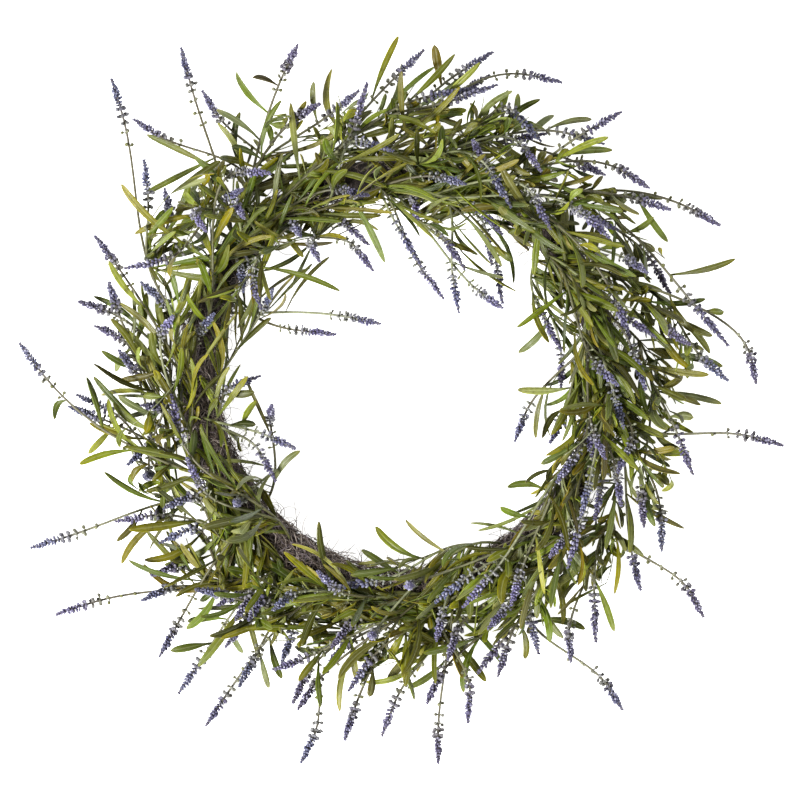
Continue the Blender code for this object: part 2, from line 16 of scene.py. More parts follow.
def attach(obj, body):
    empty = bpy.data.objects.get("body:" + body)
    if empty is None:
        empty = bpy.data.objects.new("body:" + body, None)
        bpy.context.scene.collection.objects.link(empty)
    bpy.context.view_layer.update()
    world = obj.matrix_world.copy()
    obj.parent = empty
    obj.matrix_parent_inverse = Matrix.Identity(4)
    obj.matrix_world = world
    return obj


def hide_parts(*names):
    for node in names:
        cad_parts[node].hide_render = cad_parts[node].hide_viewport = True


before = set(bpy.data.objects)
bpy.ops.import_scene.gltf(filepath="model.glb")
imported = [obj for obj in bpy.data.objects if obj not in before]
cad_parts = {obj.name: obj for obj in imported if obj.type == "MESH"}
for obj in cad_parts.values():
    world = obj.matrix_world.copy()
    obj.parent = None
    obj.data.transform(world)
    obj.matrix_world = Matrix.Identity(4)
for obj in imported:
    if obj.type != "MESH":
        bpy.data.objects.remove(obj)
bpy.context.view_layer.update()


# The ring is a bundle of fine dark rootlets, wound round and round until they hold each other.
# Its heart is packed so tightly that it shows as one dark fibrous mass in the gaps: it is painted
# near black, the rootlets' own dark brown with painted shade. It was bent by hand, and sags
# outwards a little where no spray covers it.
MM = 0.001
UP = Vector((0, 0, 1))
RING_CENTRE = Vector((-1, 19, 14))
RING_RADIUS = 164
BUNDLE_RADIUS = 16.5
HEART_RADIUS = 12.5
SAG = 9
SAG_ANGLE = math.radians(280)
LOWEST = 0.5
HEART_LUMPS = 1.5
LUMPS_ROUND = 40
HEART_SIDES = 14
HEART_STEPS = 120
TORUS_RADIUS = 9
# The heart's browns: the rootlets' dark brown, darkened by painted shade
HEART_SHADED_BROWNS = ((0.008, 0.006, 0.005), (0.070, 0.050, 0.044))


class Finish:
    """A procedural material: its shader's sockets and the nodes that lead into them."""

    def __init__(self, name, roughness=0.5, specular=0.5):
        self.material = bpy.data.materials.new(name)
        self.material.use_nodes = True
        self.tree = self.material.node_tree
        self.shader = self.tree.nodes["Principled BSDF"].inputs
        self.shader["Roughness"].default_value = roughness
        self.shader["Specular IOR Level"].default_value = specular

    def node(self, kind, *inputs, **settings):
        """The outputs of a new node. Each input is a socket and a value, or what leads into it."""
        added = self.tree.nodes.new("ShaderNode" + kind)
        for key, value in settings.items():
            setattr(added, key, value)
        for socket, value in inputs:
            target = added.inputs[socket]
            if isinstance(value, bpy.types.NodeSocket):
                self.tree.links.new(value, target)
            else:
                target.default_value = (*value, 1) if target.type == "RGBA" else value
        return added.outputs

    def place(self):
        """The piece's own coordinates."""
        return self.node("TexCoord")["Object"]

    def noise(self, place, scale, detail, roughness=0.5):
        """A grain of noise over some coordinates."""
        return self.node("TexNoise", ("Vector", place), ("Scale", scale), ("Detail", detail),
                         ("Roughness", roughness))["Fac"]

    def level(self, source, low, high, start=0.3, end=0.7):
        """A number from low to high, while another runs from start to end."""
        return self.node("MapRange", ("Value", source), ("From Min", start), ("From Max", end),
                         ("To Min", low), ("To Max", high))["Result"]

    def number(self, operation, first, second=0.0):
        """The result of a sum with two numbers."""
        return self.node("Math", (0, first), (1, second), operation=operation)["Value"]

    def vector(self, operation, first, second):
        """The result of a sum with two vectors or colours."""
        return self.node("VectorMath", (0, first), (1, second), operation=operation)["Vector"]

    def mixed(self, share, first, second):
        """A colour between two."""
        return self.node("Mix", ("Factor", share), ("A", first), ("B", second),
                         data_type="RGBA")["Result"]

    def lead(self, source, socket):
        """Lead an output into a socket of the shader."""
        self.tree.links.new(source, self.shader[socket])

    def emboss(self, source, strength, depth):
        """Raise the surface by a pattern, to a depth in millimetres."""
        self.lead(self.node("Bump", ("Height", source), ("Strength", strength),
                            ("Distance", depth * MM))["Normal"], "Normal")


heart = Finish("root heart in painted shade", 0.9)
fibres = heart.noise(heart.place(), 900, 4, 0.7)
heart.lead(heart.mixed(heart.level(fibres, 0, 1, 0.35, 0.72), *HEART_SHADED_BROWNS), "Base Color")
heart.emboss(fibres, 1.0, 1.5)


def new_piece(name, shape, finishes):
    """A smooth piece of the wreath from a shape in metres, riding on its body."""
    for face in shape.faces:
        face.smooth = True
    mesh = bpy.data.meshes.new(name)
    shape.to_mesh(mesh)
    shape.free()
    for finish in finishes:
        mesh.materials.append(finish.material)
    piece = bpy.data.objects.new(name, mesh)
    bpy.context.scene.collection.objects.link(piece)
    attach(piece, "root")
    return piece


def outward_at(angle):
    """The direction away from the ring's centre at an angle round it."""
    return Vector((math.cos(angle), math.sin(angle), 0))


def ring_place(angle, turn, middle, radius):
    """A place at a turn and a radius round a bundle whose middle runs at its own radius."""
    across = outward_at(angle) * (middle + radius * math.cos(turn))
    return RING_CENTRE + across + UP * radius * math.sin(turn)


def bundle_place(angle, turn, radius):
    """A place on the sagging bundle, never under the flat back."""
    sag = SAG * max(0, math.cos(angle - SAG_ANGLE)) ** 4
    place = ring_place(angle, turn, RING_RADIUS + sag, radius)
    place.z = max(place.z, LOWEST)
    return place


shape = bmesh.new()
bmesh.ops.create_circle(shape, segments=HEART_SIDES, radius=1)
bmesh.ops.spin(shape, geom=shape.verts[:] + shape.edges[:], cent=(TORUS_RADIUS, 0, 0),
               axis=(0, 1, 0), angle=2 * math.pi, steps=HEART_STEPS, use_merge=True)
for vert in shape.verts:
    away = Vector((vert.co.x - TORUS_RADIUS, vert.co.z))
    angle = math.atan2(away.y, away.x)
    turn = math.atan2(vert.co.y, away.length - TORUS_RADIUS)
    lump = noise.noise((LUMPS_ROUND * math.cos(angle), LUMPS_ROUND * math.sin(angle), 2 * turn))
    vert.co = bundle_place(angle, turn, HEART_RADIUS + HEART_LUMPS * lump) * MM
bmesh.ops.recalc_face_normals(shape, faces=shape.faces)
heart_piece = new_piece("root_heart", shape, [heart])
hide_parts("twig_ring")


# The rootlets are wound round the bundle one by one, each thin, crooked and climbing over its
# neighbours, and short curly ones tangle on its skin. They are dry and dull, from near black
# through purplish brown to grey, and painted darker the deeper they lie, as painted shade. Most
# of them are laid where the foliage leaves the bundle bare.
ROOT_BROWNS = (
    (0.038, 0.026, 0.020), (0.074, 0.052, 0.042), (0.118, 0.091, 0.076), (0.196, 0.160, 0.136),
    (0.096, 0.077, 0.085), (0.370, 0.314, 0.272),
)
ROOTLETS = 1100
ROOTLET_THICKNESS = (0.18, 0.46)
ROOTLET_SPAN = (0.12, 0.5)
ROOTLET_STEP = 3.6
ROOTLET_DEPTH = (12.6, 18.4)
MOST_WINDING = 7
CURLS = 1500
CURL_THICKNESS = (0.14, 0.34)
CURL_STEP = 2.2
CURL_STEPS = 12
# The bare stretch: in degrees round the ring, and in radians round the bundle's skin
BARE_ARC = (165, 303)
BARE_TURNS = (0.8, 4.2)
BARE_OVERLAP = 8
SAME_PLACE = 0.002


def search_tree(points):
    """A tree that finds the nearest of some points by its number."""
    tree = KDTree(len(points))
    for index, point in enumerate(points):
        tree.insert(point, index)
    tree.balance()
    return tree


def tubes(name, routes, sides, finish):
    """Round tubes that taper along routes of (place, radius, tint), joined in one piece."""
    line = bpy.data.curves.new(name, "CURVE")
    line.dimensions = "3D"
    line.bevel_depth = 1
    line.bevel_resolution = sides // 2 - 2
    line.use_fill_caps = True
    for route in routes:
        spline = line.splines.new("POLY")
        spline.points.add(len(route) - 1)
        for point, (place, radius, _) in zip(spline.points, route):
            point.co = (*(place * MM), 1)
            point.radius = radius * MM
    holder = bpy.data.objects.new(name, line)
    rough = bpy.data.meshes.new_from_object(holder)
    bpy.data.objects.remove(holder)
    shape = bmesh.new()
    shape.from_mesh(rough)
    bmesh.ops.remove_doubles(shape, verts=shape.verts, dist=SAME_PLACE * MM)
    bmesh.ops.recalc_face_normals(shape, faces=shape.faces)
    stops = [stop for route in routes for stop in route]
    tree = search_tree([place * MM for place, _, _ in stops])
    layer = shape.verts.layers.float_color.new("tint")
    for vert in shape.verts:
        _, _, tint = stops[tree.find(vert.co)[1]]
        vert[layer] = (*tint, 1)
    return new_piece(name, shape, [finish])


def bundle_spot(chance, number):
    """Where on the bundle a root starts: on its bare stretch, or anywhere for two in five."""
    if number % 5 < 2:
        return chance.uniform(0, 2 * math.pi), chance.uniform(0, 2 * math.pi)
    angle = chance.uniform(BARE_ARC[0] - BARE_OVERLAP, BARE_ARC[1] + BARE_OVERLAP)
    return math.radians(angle), chance.uniform(*BARE_TURNS)


def rootlet_route(number):
    """One rootlet's way round the bundle."""
    chance = random.Random(f"rootlet {number}")
    angle, turn = bundle_spot(chance, number)
    span = chance.uniform(*ROOTLET_SPAN)
    winding = chance.choice((-1, 1)) * chance.uniform(0, MOST_WINDING)
    depth = chance.uniform(*ROOTLET_DEPTH)
    level = depth
    thickness = chance.uniform(*ROOTLET_THICKNESS)
    tint = shaded_root_tone(chance, depth)
    steps = max(5, round(span * RING_RADIUS / ROOTLET_STEP))
    route = []
    for step in range(steps + 1):
        share = step / steps
        taper = min(1, 0.35 + 4 * share, 0.35 + 4 * (1 - share))
        route.append((bundle_place(angle, turn, depth), thickness * taper, tint))
        angle += span / steps
        turn += winding * span / steps + chance.gauss(0, 0.12)
        winding += chance.gauss(0, 4) - 0.08 * winding
        depth += chance.gauss(0, 0.6) - 0.2 * (depth - level)
    return route


def shaded_root_tone(chance, depth):
    """A root's colour with painted shade: darker the deeper it lies in the bundle."""
    share = (depth - ROOTLET_DEPTH[0]) / (ROOTLET_DEPTH[1] - ROOTLET_DEPTH[0])
    # Painted shade: the deeper a root lies, the darker its colour
    return [part * (0.3 + 0.85 * share) for part in chance.choice(ROOT_BROWNS)]


def curl_route(number):
    """One short curly rootlet on the bundle's skin."""
    chance = random.Random(f"curl {number}")
    angle, turn = bundle_spot(chance, number)
    depth = chance.uniform(ROOTLET_DEPTH[0] + 1.5, ROOTLET_DEPTH[1] + 1)
    thickness = chance.uniform(*CURL_THICKNESS)
    tint = shaded_root_tone(chance, depth)
    heading = chance.uniform(0, 2 * math.pi)
    bend = chance.uniform(-0.4, 0.4)
    route = []
    for _ in range(CURL_STEPS + 1):
        route.append((bundle_place(angle, turn, depth), thickness, tint))
        heading += bend + chance.gauss(0, 0.3)
        angle += math.cos(heading) * CURL_STEP / RING_RADIUS
        turn += math.sin(heading) * CURL_STEP / depth
        depth += chance.gauss(0, 0.45)
    return route


def grained(name, roughness, grain, shades, relief, specular=0.5):
    """A finish in a piece's own tints, made darker, lighter and uneven by a fine grain."""
    made = Finish(name, roughness, specular)
    pattern = made.noise(made.place(), *grain)
    tint = made.node("Attribute", attribute_name="tint")["Color"]
    made.lead(made.vector("MULTIPLY", tint, made.level(pattern, *shades)), "Base Color")
    made.emboss(pattern, *relief)
    return made


dry_root = grained("dry rootlet", 0.85, grain=(1100, 3, 0.65), shades=(0.5, 1.65),
                   relief=(0.6, 0.25))
for name, count, route_of in (("rootlets", ROOTLETS, rootlet_route),
                              ("root_curls", CURLS, curl_route)):
    piece = tubes(name, [route_of(number) for number in range(count)], 4, dry_root)
    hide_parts("twig_ring")


# Stray root hairs curl out of the bundle, mostly along its inner edge, where nothing covers it.
# They are the same dry root, thin as thread.
ROOT_HAIRS = 620
HAIR_LENGTH = (8, 27)
HAIR_RADIUS = 0.24
HAIR_STEPS = 9


def hair_route(number):
    """One curling hair, from inside the bundle out into the air."""
    chance = random.Random(f"hair {number}")
    angle, _ = bundle_spot(chance, number)
    turn = math.pi + chance.uniform(-1.5, 1.0)
    place = bundle_place(angle, turn, BUNDLE_RADIUS)
    along = (place - bundle_place(angle, turn, 0)).normalized()
    sweep = Vector((-math.sin(angle), math.cos(angle), 0)) * chance.uniform(-1.6, 1.6)
    along = (along + sweep).normalized()
    curl = Matrix.Rotation(chance.uniform(-0.75, 0.75), 3, UP)
    length = chance.uniform(*HAIR_LENGTH)
    tint = chance.choice(ROOT_BROWNS[:3])
    route = []
    for step in range(HAIR_STEPS + 1):
        route.append((place.copy(), HAIR_RADIUS * (1 - 0.04 * step), tint))
        along = curl @ along
        place = place + along * length / HAIR_STEPS
        place.z = max(place.z, LOWEST)
    return route


hairs = tubes("root_hairs", [hair_route(number) for number in range(ROOT_HAIRS)], 4, dry_root)


# Each spray is one moulded pick whose foot stands in the ring. Its stalks carry the flower
# heads, and they run where the CAD's run: the same chances are taken in the same order, and the
# one that was kept is known by the stalk's tip, which is a corner of the spray's own node.
OUTER_HEADS = (
    (-233, 260, -226, 236), (-178, 286, -172, 262), (-217, 227, -198, 215),
    (-161, 250, -150, 232), (-206, 195, -203, 168), (-190, 171, -187, 155),
    (-82, 284, -90, 270), (-64, 238, -80, 230), (-33, 250, -52, 235),
    (-27, 256, -36, 224), (19, 283, 0, 265), (75, 282, 52, 268),
    (72, 263, 50, 249), (79, 253, 45, 241), (58, 250, 25, 244),
    (130, 255, 105, 261), (113, 205, 90, 230), (119, 215, 90, 210),
    (177, 232, 152, 218), (164, 205, 137, 213), (163, 180, 148, 188),
    (198, 169, 180, 182), (255, 139, 238, 150), (216, 152, 196, 159),
    (217, 84, 203, 109), (262, 42, 236, 73), (281, 12, 279, 31),
    (261, 15, 245, 29), (229, 44, 215, 54), (305, -36, 281, -29),
    (233, -61, 223, -34), (208, -122, 208, -97), (193, -102, 192, -81),
    (192, -154, 187, -132), (241, -174, 231, -154), (177, -248, 166, -230),
    (155, -196, 154, -162), (135, -210, 134, -192), (110, -205, 104, -179),
    (76, -222, 83, -199), (59, -221, 78, -196), (52, -258, 54, -234),
    (19, -242, 28, -224), (29, -292, 29, -271), (36, -207, 42, -188),
    (-81, -289, -71, -269), (-46, -271, -40, -252), (-17, -270, -7, -244),
    (-88, -243, -79, -224), (-84, -247, -72, -230), (-44, -233, -27, -209),
    (-57, -197, -44, -181), (-59, -209, -46, -197), (-105, -215, -82, -207),
    (-97, -212, -90, -192), (-159, -263, -145, -242), (-130, -228, -121, -211),
    (-181, -237, -166, -215), (-194, -205, -183, -185), (-142, -198, -128, -180),
    (-133, -175, -123, -159), (-123, -176, -113, -160), (-149, -164, -132, -155),
    (-165, -149, -148, -153), (-208, -159, -191, -151), (-278, -171, -254, -163),
    (-202, -140, -185, -134), (-301, -119, -275, -111), (-232, -97, -203, -92),
    (-197, -115, -171, -103), (-191, -86, -171, -77), (-306, 48, -292, 28),
    (-264, 6, -240, -5), (-268, -4, -250, -11), (-209, -3, -194, -5),
    (-220, -52, -207, -40), (-204, -61, -203, -60), (-246, 133, -234, 116),
    (-224, 105, -190, 112), (-234, 96, -230, 80), (-260, 80, -244, 75),
    (-248, 61, -230, 53), (-227, 42, -217, 28), (-210, 96, -195, 83),
)
TOP_HEADS = (
    (-102, 180, -125, 182), (-125, 169, -140, 162), (-124, 143, -131, 155),
    (-154, 133, -164, 147), (-5, 198, -30, 206), (-25, 163, -45, 168),
    (112, 181, 98, 201), (55, 208, 63, 194), (88, 151, 70, 182),
    (52, 171, 33, 177), (119, 134, 106, 160), (175, 135, 143, 150),
    (167, 128, 145, 148), (196, 101, 183, 111), (182, 47, 170, 78),
    (204, 49, 178, 66), (195, 6, 185, 37), (172, 11, 158, 25),
    (177, -24, 170, 1), (170, -59, 181, -37), (152, -49, 149, -26),
    (161, -47, 154, -30), (174, -85, 172, -64), (153, -97, 159, -71),
    (141, -95, 148, -66), (131, -136, 141, -101), (116, -125, 129, -111),
    (121, -66, 134, -49), (27, -191, 31, -175), (24, -162, 49, -142),
    (47, -166, 68, -142), (67, -182, 80, -169), (86, -164, 93, -142),
    (5, -147, 6, -146), (-24, -186, -23, -185), (-103, -166, -91, -156),
    (-68, -133, -56, -146), (-59, -149, -22, -144), (-180, 68, -189, 58),
    (-184, 8, -178, -22), (-172, -43, -162, -65), (-148, 70, -158, 59),
)
INNER_HEADS = (
    (46, 68, 41, 98), (17, 105, -2, 137), (35, 80, 17, 104),
    (52, 103, 33, 131), (81, 73, 66, 84), (81, 75, 76, 109),
    (73, 107, 68, 135), (13, 138, 10, 160), (82, 131, 63, 152),
    (129, 38, 113, 68), (128, 8, 128, 35), (90, -34, 98, -13),
    (117, -35, 126, -19), (-80, 130, -86, 140), (-65, 110, -72, 123),
    (-25, 124, -46, 143), (-22, 103, -36, 122), (-112, 71, -119, 98),
    (-102, 90, -109, 77), (-15, 61, -38, 66), (-50, 53, -78, 56),
    (-111, 21, -138, 11), (-104, -2, -106, -12), (-83, -39, -105, -29),
    (-100, -66, -113, -42), (-126, 85, -129, 108), (-132, -82, -131, -81),
)
# For each kind of head: how far behind its neck the foot lies, how much further back round the
# ring in degrees, where on the bundle the feet sit in degrees from its outer side, how high the
# necks lie, and how many leaves each spray gets
KINDS = (
    (OUTER_HEADS, 95, 9, (15, 75), (10, 56), 6),
    (TOP_HEADS, 80, 12, (65, 115), (46, 74), 11),
    (INNER_HEADS, 55, 6, (110, 165), (12, 52), 6),
)
STRANDS = 3
STRAND_TURNS = 7
STRAND_DEPTH = 1.3
FOOT_DEPTH = 9
FOOT_EXIT = 3
FOOT_SHIFT = math.radians(5)
SEAT_SHIFT = math.radians(20)
# How much a foot's stalk leaves outwards, clockwise, towards its head and by chance, and how much
# a branch leaves towards its head and by chance
FOOT_HEADING = (0.7, 0.3, 0.5, 0.5)
BRANCH_HEADING = (0.5, 0.7)
CURVE_REACH = 0.38
HEADS_PER_SPRAY = 3
WIDEST = math.radians(22)
HEAD_LENGTH = 26
MAIN_NODES = (0.12, 0.26, 0.42, 0.6, 0.8)
BRANCH_NODES = (0.2, 0.48, 0.76)
TRIES = 200
SAME = 0.01 * MM
Plan = namedtuple("Plan", "kind heads angle seat levels leaves")
Stalk = namedtuple("Stalk", "kind number order neck tip axis start heading curve nodes")


def surface_place(angle, turn):
    """A point on the CAD ring, where strands wind round it."""
    swelling = STRAND_DEPTH * math.cos(STRANDS * turn + STRAND_TURNS * angle)
    return ring_place(angle, turn, RING_RADIUS, BUNDLE_RADIUS + swelling)


def foot_angle(head, behind, further):
    """Where round the ring a head's stalk comes from."""
    tip_x, tip_y, neck_x, neck_y = head
    back = Vector((neck_x - tip_x, neck_y - tip_y, 0)).normalized() * behind
    place = Vector((neck_x, neck_y, 0)) + back - RING_CENTRE
    return math.atan2(place.y, place.x) + math.radians(further)


def spray_plans():
    """What each spray is to be."""
    plans = []
    for kind, (heads, behind, further, seats, levels, leaves) in enumerate(KINDS):
        groups = []
        for angle, head in sorted((foot_angle(head, behind, further), head) for head in heads):
            if groups and len(groups[-1]) < HEADS_PER_SPRAY and angle < groups[-1][0][0] + WIDEST:
                groups[-1].append((angle, head))
            else:
                groups.append([(angle, head)])
        for number, group in enumerate(groups):
            angle = sum(own for own, _ in group) / len(group)
            seat = math.radians(seats[number % 2])
            surface = surface_place(angle, seat)
            farthest_first = sorted((head for _, head in group),
                                    key=lambda head: -math.dist(head[2:], surface[:2]))
            plans.append(Plan(kind, farthest_first, angle, seat, levels, leaves))
    return plans


def bezier(ends, share):
    """The point and the direction a share of the way along a curve."""
    a, b, c, d = ends
    rest = 1 - share
    point = a * rest ** 3 + b * 3 * share * rest ** 2 + c * 3 * share ** 2 * rest + d * share ** 3
    slope = (b - a) * rest ** 2 + (c - b) * 2 * share * rest + (d - c) * share ** 2
    return point, slope.normalized()


def around(along, chance):
    """A direction square to another, turned by chance."""
    turn = Matrix.Rotation(chance.uniform(0, 2 * math.pi), 3, along.normalized())
    return turn @ along.orthogonal().normalized()


def chances(name, tries):
    """Numbered chances under one name, for what is tried until it fits."""
    return (random.Random(f"{name} {attempt}") for attempt in range(tries))


def new_stalk(plan, number, order, level, start, heading):
    """A stalk that leaves a place in a direction and ends in its head."""
    tip_x, tip_y, neck_x, neck_y = plan.heads[order]
    rise = math.sqrt(max(0, HEAD_LENGTH ** 2 - math.hypot(tip_x - neck_x, tip_y - neck_y) ** 2))
    neck = Vector((neck_x, neck_y, level))
    tip = Vector((tip_x, tip_y, level + rise))
    axis = (tip - neck).normalized()
    reach = (neck - start).length * CURVE_REACH
    curve = (start, start + heading * reach, neck - axis * reach, neck)
    nodes = MAIN_NODES if order == 0 else BRANCH_NODES
    return Stalk(plan.kind, number, order, neck, tip, axis, start, heading, curve, nodes)


def main_stalk(plan, number, chance):
    """A way for a spray's longest stalk to leave the ring."""
    angle = plan.angle + chance.uniform(-FOOT_SHIFT, FOOT_SHIFT)
    seat = plan.seat + chance.uniform(-SEAT_SHIFT, SEAT_SHIFT)
    level = chance.uniform(*plan.levels)
    outward = outward_at(angle)
    clockwise = Vector((outward.y, -outward.x, 0))
    normal = outward * math.cos(seat) + UP * math.sin(seat)
    surface = surface_place(angle, seat)
    toward = (Vector((*plan.heads[0][2:], level)) - surface).normalized()
    leaning, sweeping, aiming, straying = FOOT_HEADING
    heading = normal * leaning + clockwise * sweeping + toward * aiming
    heading = (heading + around(heading, chance) * chance.uniform(0, straying)).normalized()
    return new_stalk(plan, number, 0, level, surface + heading * FOOT_EXIT, heading)


def branch_stalk(plan, number, order, stem, chance):
    """A way for another stalk to leave the longest one."""
    node = chance.randrange(len(MAIN_NODES) // 2)
    level = chance.uniform(*plan.levels)
    start, along = bezier(stem.curve, MAIN_NODES[node])
    toward = (Vector((*plan.heads[order][2:], level)) - start).normalized()
    aiming, straying = BRANCH_HEADING
    heading = (along + toward * aiming + around(along, chance) * straying).normalized()
    return new_stalk(plan, number, order, level, start, heading)


def corners_of(node):
    """A search tree of a CAD node's corners."""
    return search_tree([vert.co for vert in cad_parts[node].data.vertices])


def is_corner(tree, *points):
    """Whether each of some points is a corner."""
    return all(tree.find(point * MM)[2] < SAME for point in points)


def kept_stalks(plan, number, tree):
    """The stalks that the CAD spray has."""
    stalks = []
    for order in range(len(plan.heads)):
        for chance in chances(f"stalk {number} {order}", TRIES):
            stalk = (branch_stalk(plan, number, order, stalks[0], chance) if order
                     else main_stalk(plan, number, chance))
            if is_corner(tree, stalk.tip):
                stalks.append(stalk)
                break
    return stalks


plans = spray_plans()
spray_names = [f"spray_{number:02d}" for number in range(1, len(plans) + 1)]
corners = [corners_of(name) for name in spray_names]
sprays = [kept_stalks(plan, number, corners[number]) for number, plan in enumerate(plans)]


# A stalk is a thin moulded plastic tube over wire. It is olive where it leaves the ring, fades
# to a grey green and turns violet grey inside the flower head. Some stalks are browner, and some
# are painted paler.
STALK_RADIUS = (1.12, 0.94)
OLIVE_STALK = ((0.060, 0.058, 0.016), (0.070, 0.062, 0.024), (0.080, 0.068, 0.036),
               (0.060, 0.048, 0.068))
STALK_STEPS = 18
OUTER_PALENESS = 0.35
PALE_STALK = ((0.105, 0.115, 0.036), (0.185, 0.205, 0.090), (0.235, 0.250, 0.150),
              (0.130, 0.118, 0.140))


def between(first, second, share):
    """A number part of the way from one to another."""
    return first + (second - first) * share


def mix(first, second, share):
    """A colour part of the way from one to another."""
    return tuple(between(a, b, share) for a, b in zip(first, second))


def stalk_route(stalk):
    """A stalk from its foot through its head."""
    places = [bezier(stalk.curve, step / STALK_STEPS)[0] for step in range(STALK_STEPS + 1)]
    if stalk.order == 0:
        places.insert(0, stalk.start - stalk.heading * (FOOT_DEPTH + FOOT_EXIT))
    places += [stalk.neck.lerp(stalk.tip, share) for share in (0.25, 0.5, 0.75, 0.9)]
    last = len(places) - 1
    paleness = random.Random(f"stalk look {stalk.number} {stalk.order}").random()
    if stalk.kind == 0:
        paleness *= OUTER_PALENESS
    tints = [mix(olive, pale, paleness) for olive, pale in zip(OLIVE_STALK, PALE_STALK)]
    route = []
    for step, place in enumerate(places):
        share = step / last
        stretch = min(int(share * 3), 2)
        tint = mix(tints[stretch], tints[stretch + 1], share * 3 - stretch)
        route.append((place, between(*STALK_RADIUS, share ** 0.8), tint))
    return route


stalk_green = grained("stalk green", 0.55, grain=(420, 3), shades=(0.7, 1.35),
                      relief=(0.25, 0.15))
for name, stalks in zip(spray_names, sprays):
    piece = tubes(f"{name}_stalks", [stalk_route(stalk) for stalk in stalks], 6, stalk_green)
    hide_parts(name)


# The leaves are pressed from thin printed cloth, narrow and blunt, and their stems are moulded on
# the stalks. The long ones follow the CAD's leaves, and are found as its stalks are: first those
# that the photograph shows whole, by tip and foot, then those that fill in between them. Their
# meshes are made further down, with the smaller leaves'.
OUTLINE_LEAVES = (
    (-204, 213, -157, 183), (-223, 172, -165, 133), (-170, 176, -185, 143),
    (-168, 168, -170, 143), (-147, 196, -125, 183), (-136, 204, -115, 195),
    (-148, 233, -120, 203), (-133, 264, -118, 235), (-119, 259, -115, 230),
    (-77, 240, -75, 210), (-71, 256, -66, 237), (-57, 267, -62, 225),
    (-3, 293, -12, 250), (26, 285, 8, 265), (42, 277, 10, 266),
    (62, 270, 25, 247), (152, 226, 100, 224), (122, 230, 105, 212),
    (93, 246, 80, 218), (265, 113, 208, 105), (201, 147, 175, 132),
    (189, 149, 168, 151), (256, 71, 220, 92), (247, 52, 215, 57),
    (232, 55, 212, 64), (257, 28, 225, 40), (245, 21, 205, 30),
    (230, 26, 203, 48), (225, 20, 200, 32), (256, -2, 208, 18),
    (239, -3, 215, 8), (232, -13, 220, -2), (222, -38, 203, -18),
    (221, -58, 188, -33), (213, -67, 195, -60), (226, -102, 200, -68),
    (204, -86, 195, -65), (202, -100, 180, -75), (193, -124, 180, -95),
    (182, -121, 175, -95), (176, -125, 165, -100), (160, -131, 160, -105),
    (148, -153, 150, -130), (169, -183, 158, -150), (132, -165, 122, -140),
    (129, -190, 120, -155), (122, -184, 105, -170), (118, -192, 115, -165),
    (99, -207, 90, -188), (90, -218, 83, -200), (49, -233, 58, -200),
    (48, -221, 43, -197), (12, -218, 28, -195), (5, -230, 30, -210),
    (10, -238, -15, -204), (-3, -209, 20, -196), (-10, -205, -2, -185),
    (-26, -235, -20, -212), (-50, -248, -22, -210), (-36, -223, -35, -200),
    (-65, -243, -52, -225), (-70, -190, -55, -182), (-86, -198, -67, -195),
    (-82, -222, -80, -195), (-97, -223, -92, -205), (-106, -228, -102, -205),
    (-128, -202, -130, -180), (-162, -211, -137, -175), (-185, -200, -160, -190),
    (-172, -177, -138, -168), (-172, -182, -145, -173), (-162, -161, -145, -157),
    (-181, -157, -168, -150), (-217, -127, -180, -134), (-184, -128, -160, -133),
    (-223, -129, -190, -115), (-205, -127, -180, -112), (-228, -112, -195, -102),
    (-216, -102, -185, -104), (-211, -72, -190, -65), (-198, -63, -193, -42),
    (-256, -50, -215, -41), (-251, -42, -222, -28), (-250, -18, -217, -40),
    (-278, -14, -250, -17), (-226, 4, -213, -15), (-231, -2, -205, -12),
    (-224, 17, -190, 27), (-240, 40, -210, 33), (-230, 24, -205, 33),
    (-50, 88, -108, 92), (-105, 66, -130, 57), (-79, 115, -95, 130),
    (-14, 111, -32, 155), (92, 59, 123, 94), (94, 39, 112, 70),
    (88, 112, 80, 137), (105, 101, 98, 131), (93, 9, 125, 6),
    (112, -29, 127, -3), (111, -50, 139, -42), (84, -68, 119, -70),
    (78, -84, 95, -89), (3, -95, 33, -130), (-21, -101, 21, -130),
    (-32, -119, -11, -140), (-82, -40, -111, -66), (-118, 7, -133, 5),
    (-117, 0, -130, -16), (-117, -19, -135, -16), (-66, -96, -67, -118),
)
LEAF_LENGTH = (44, 68)
LEAF_WIDTH = (6.5, 8.5)
LEAF_SPREAD = (0.42, 1.0)
END_SHARE = 0.15
END_LIFT = 0.09
NEAREST_NODES = 5
Leaf = namedtuple("Leaf", "foot tip width bow side face")


def new_leaf(foot, tip, width, bow, roll):
    """A leaf between two places."""
    along = (tip - foot).normalized()
    flat = along.cross(UP)
    if flat.length < 0.2:
        flat = along.orthogonal()
    side = Matrix.Rotation(roll, 3, along) @ flat.normalized()
    return Leaf(foot, tip, width, bow, side, side.cross(along))


def chance_leaf(foot, tip, chance):
    """A leaf between two places, with its width, bow and roll left to chance."""
    bow = UP * chance.uniform(-2, 6)
    return new_leaf(foot, tip, chance.uniform(*LEAF_WIDTH), bow, chance.uniform(-0.8, 0.8))


def spreading(along, angles, chance):
    """A direction that leaves a stem's at an angle."""
    angle = chance.uniform(*angles)
    return along * math.cos(angle) + around(along, chance) * math.sin(angle)


def outline_leaf(ends, stalk, share, chance):
    """A way for a leaf to reach a place on the outline from a node."""
    foot, _ = bezier(stalk.curve, share)
    tip = Vector((*ends[:2], foot.z + chance.uniform(-16, 26)))
    return chance_leaf(foot, tip, chance)


def filling_leaf(stalk, share, chance):
    """A way for a leaf to spread from a node."""
    foot, along = bezier(stalk.curve, share)
    away = spreading(along, LEAF_SPREAD, chance)
    return chance_leaf(foot, foot + away * chance.uniform(*LEAF_LENGTH), chance)


def end_corners(leaf):
    """The two corners of the CAD leaf's blunt end."""
    half = leaf.side * leaf.width * END_SHARE
    top = leaf.tip + leaf.face * END_LIFT
    return top - half, top + half


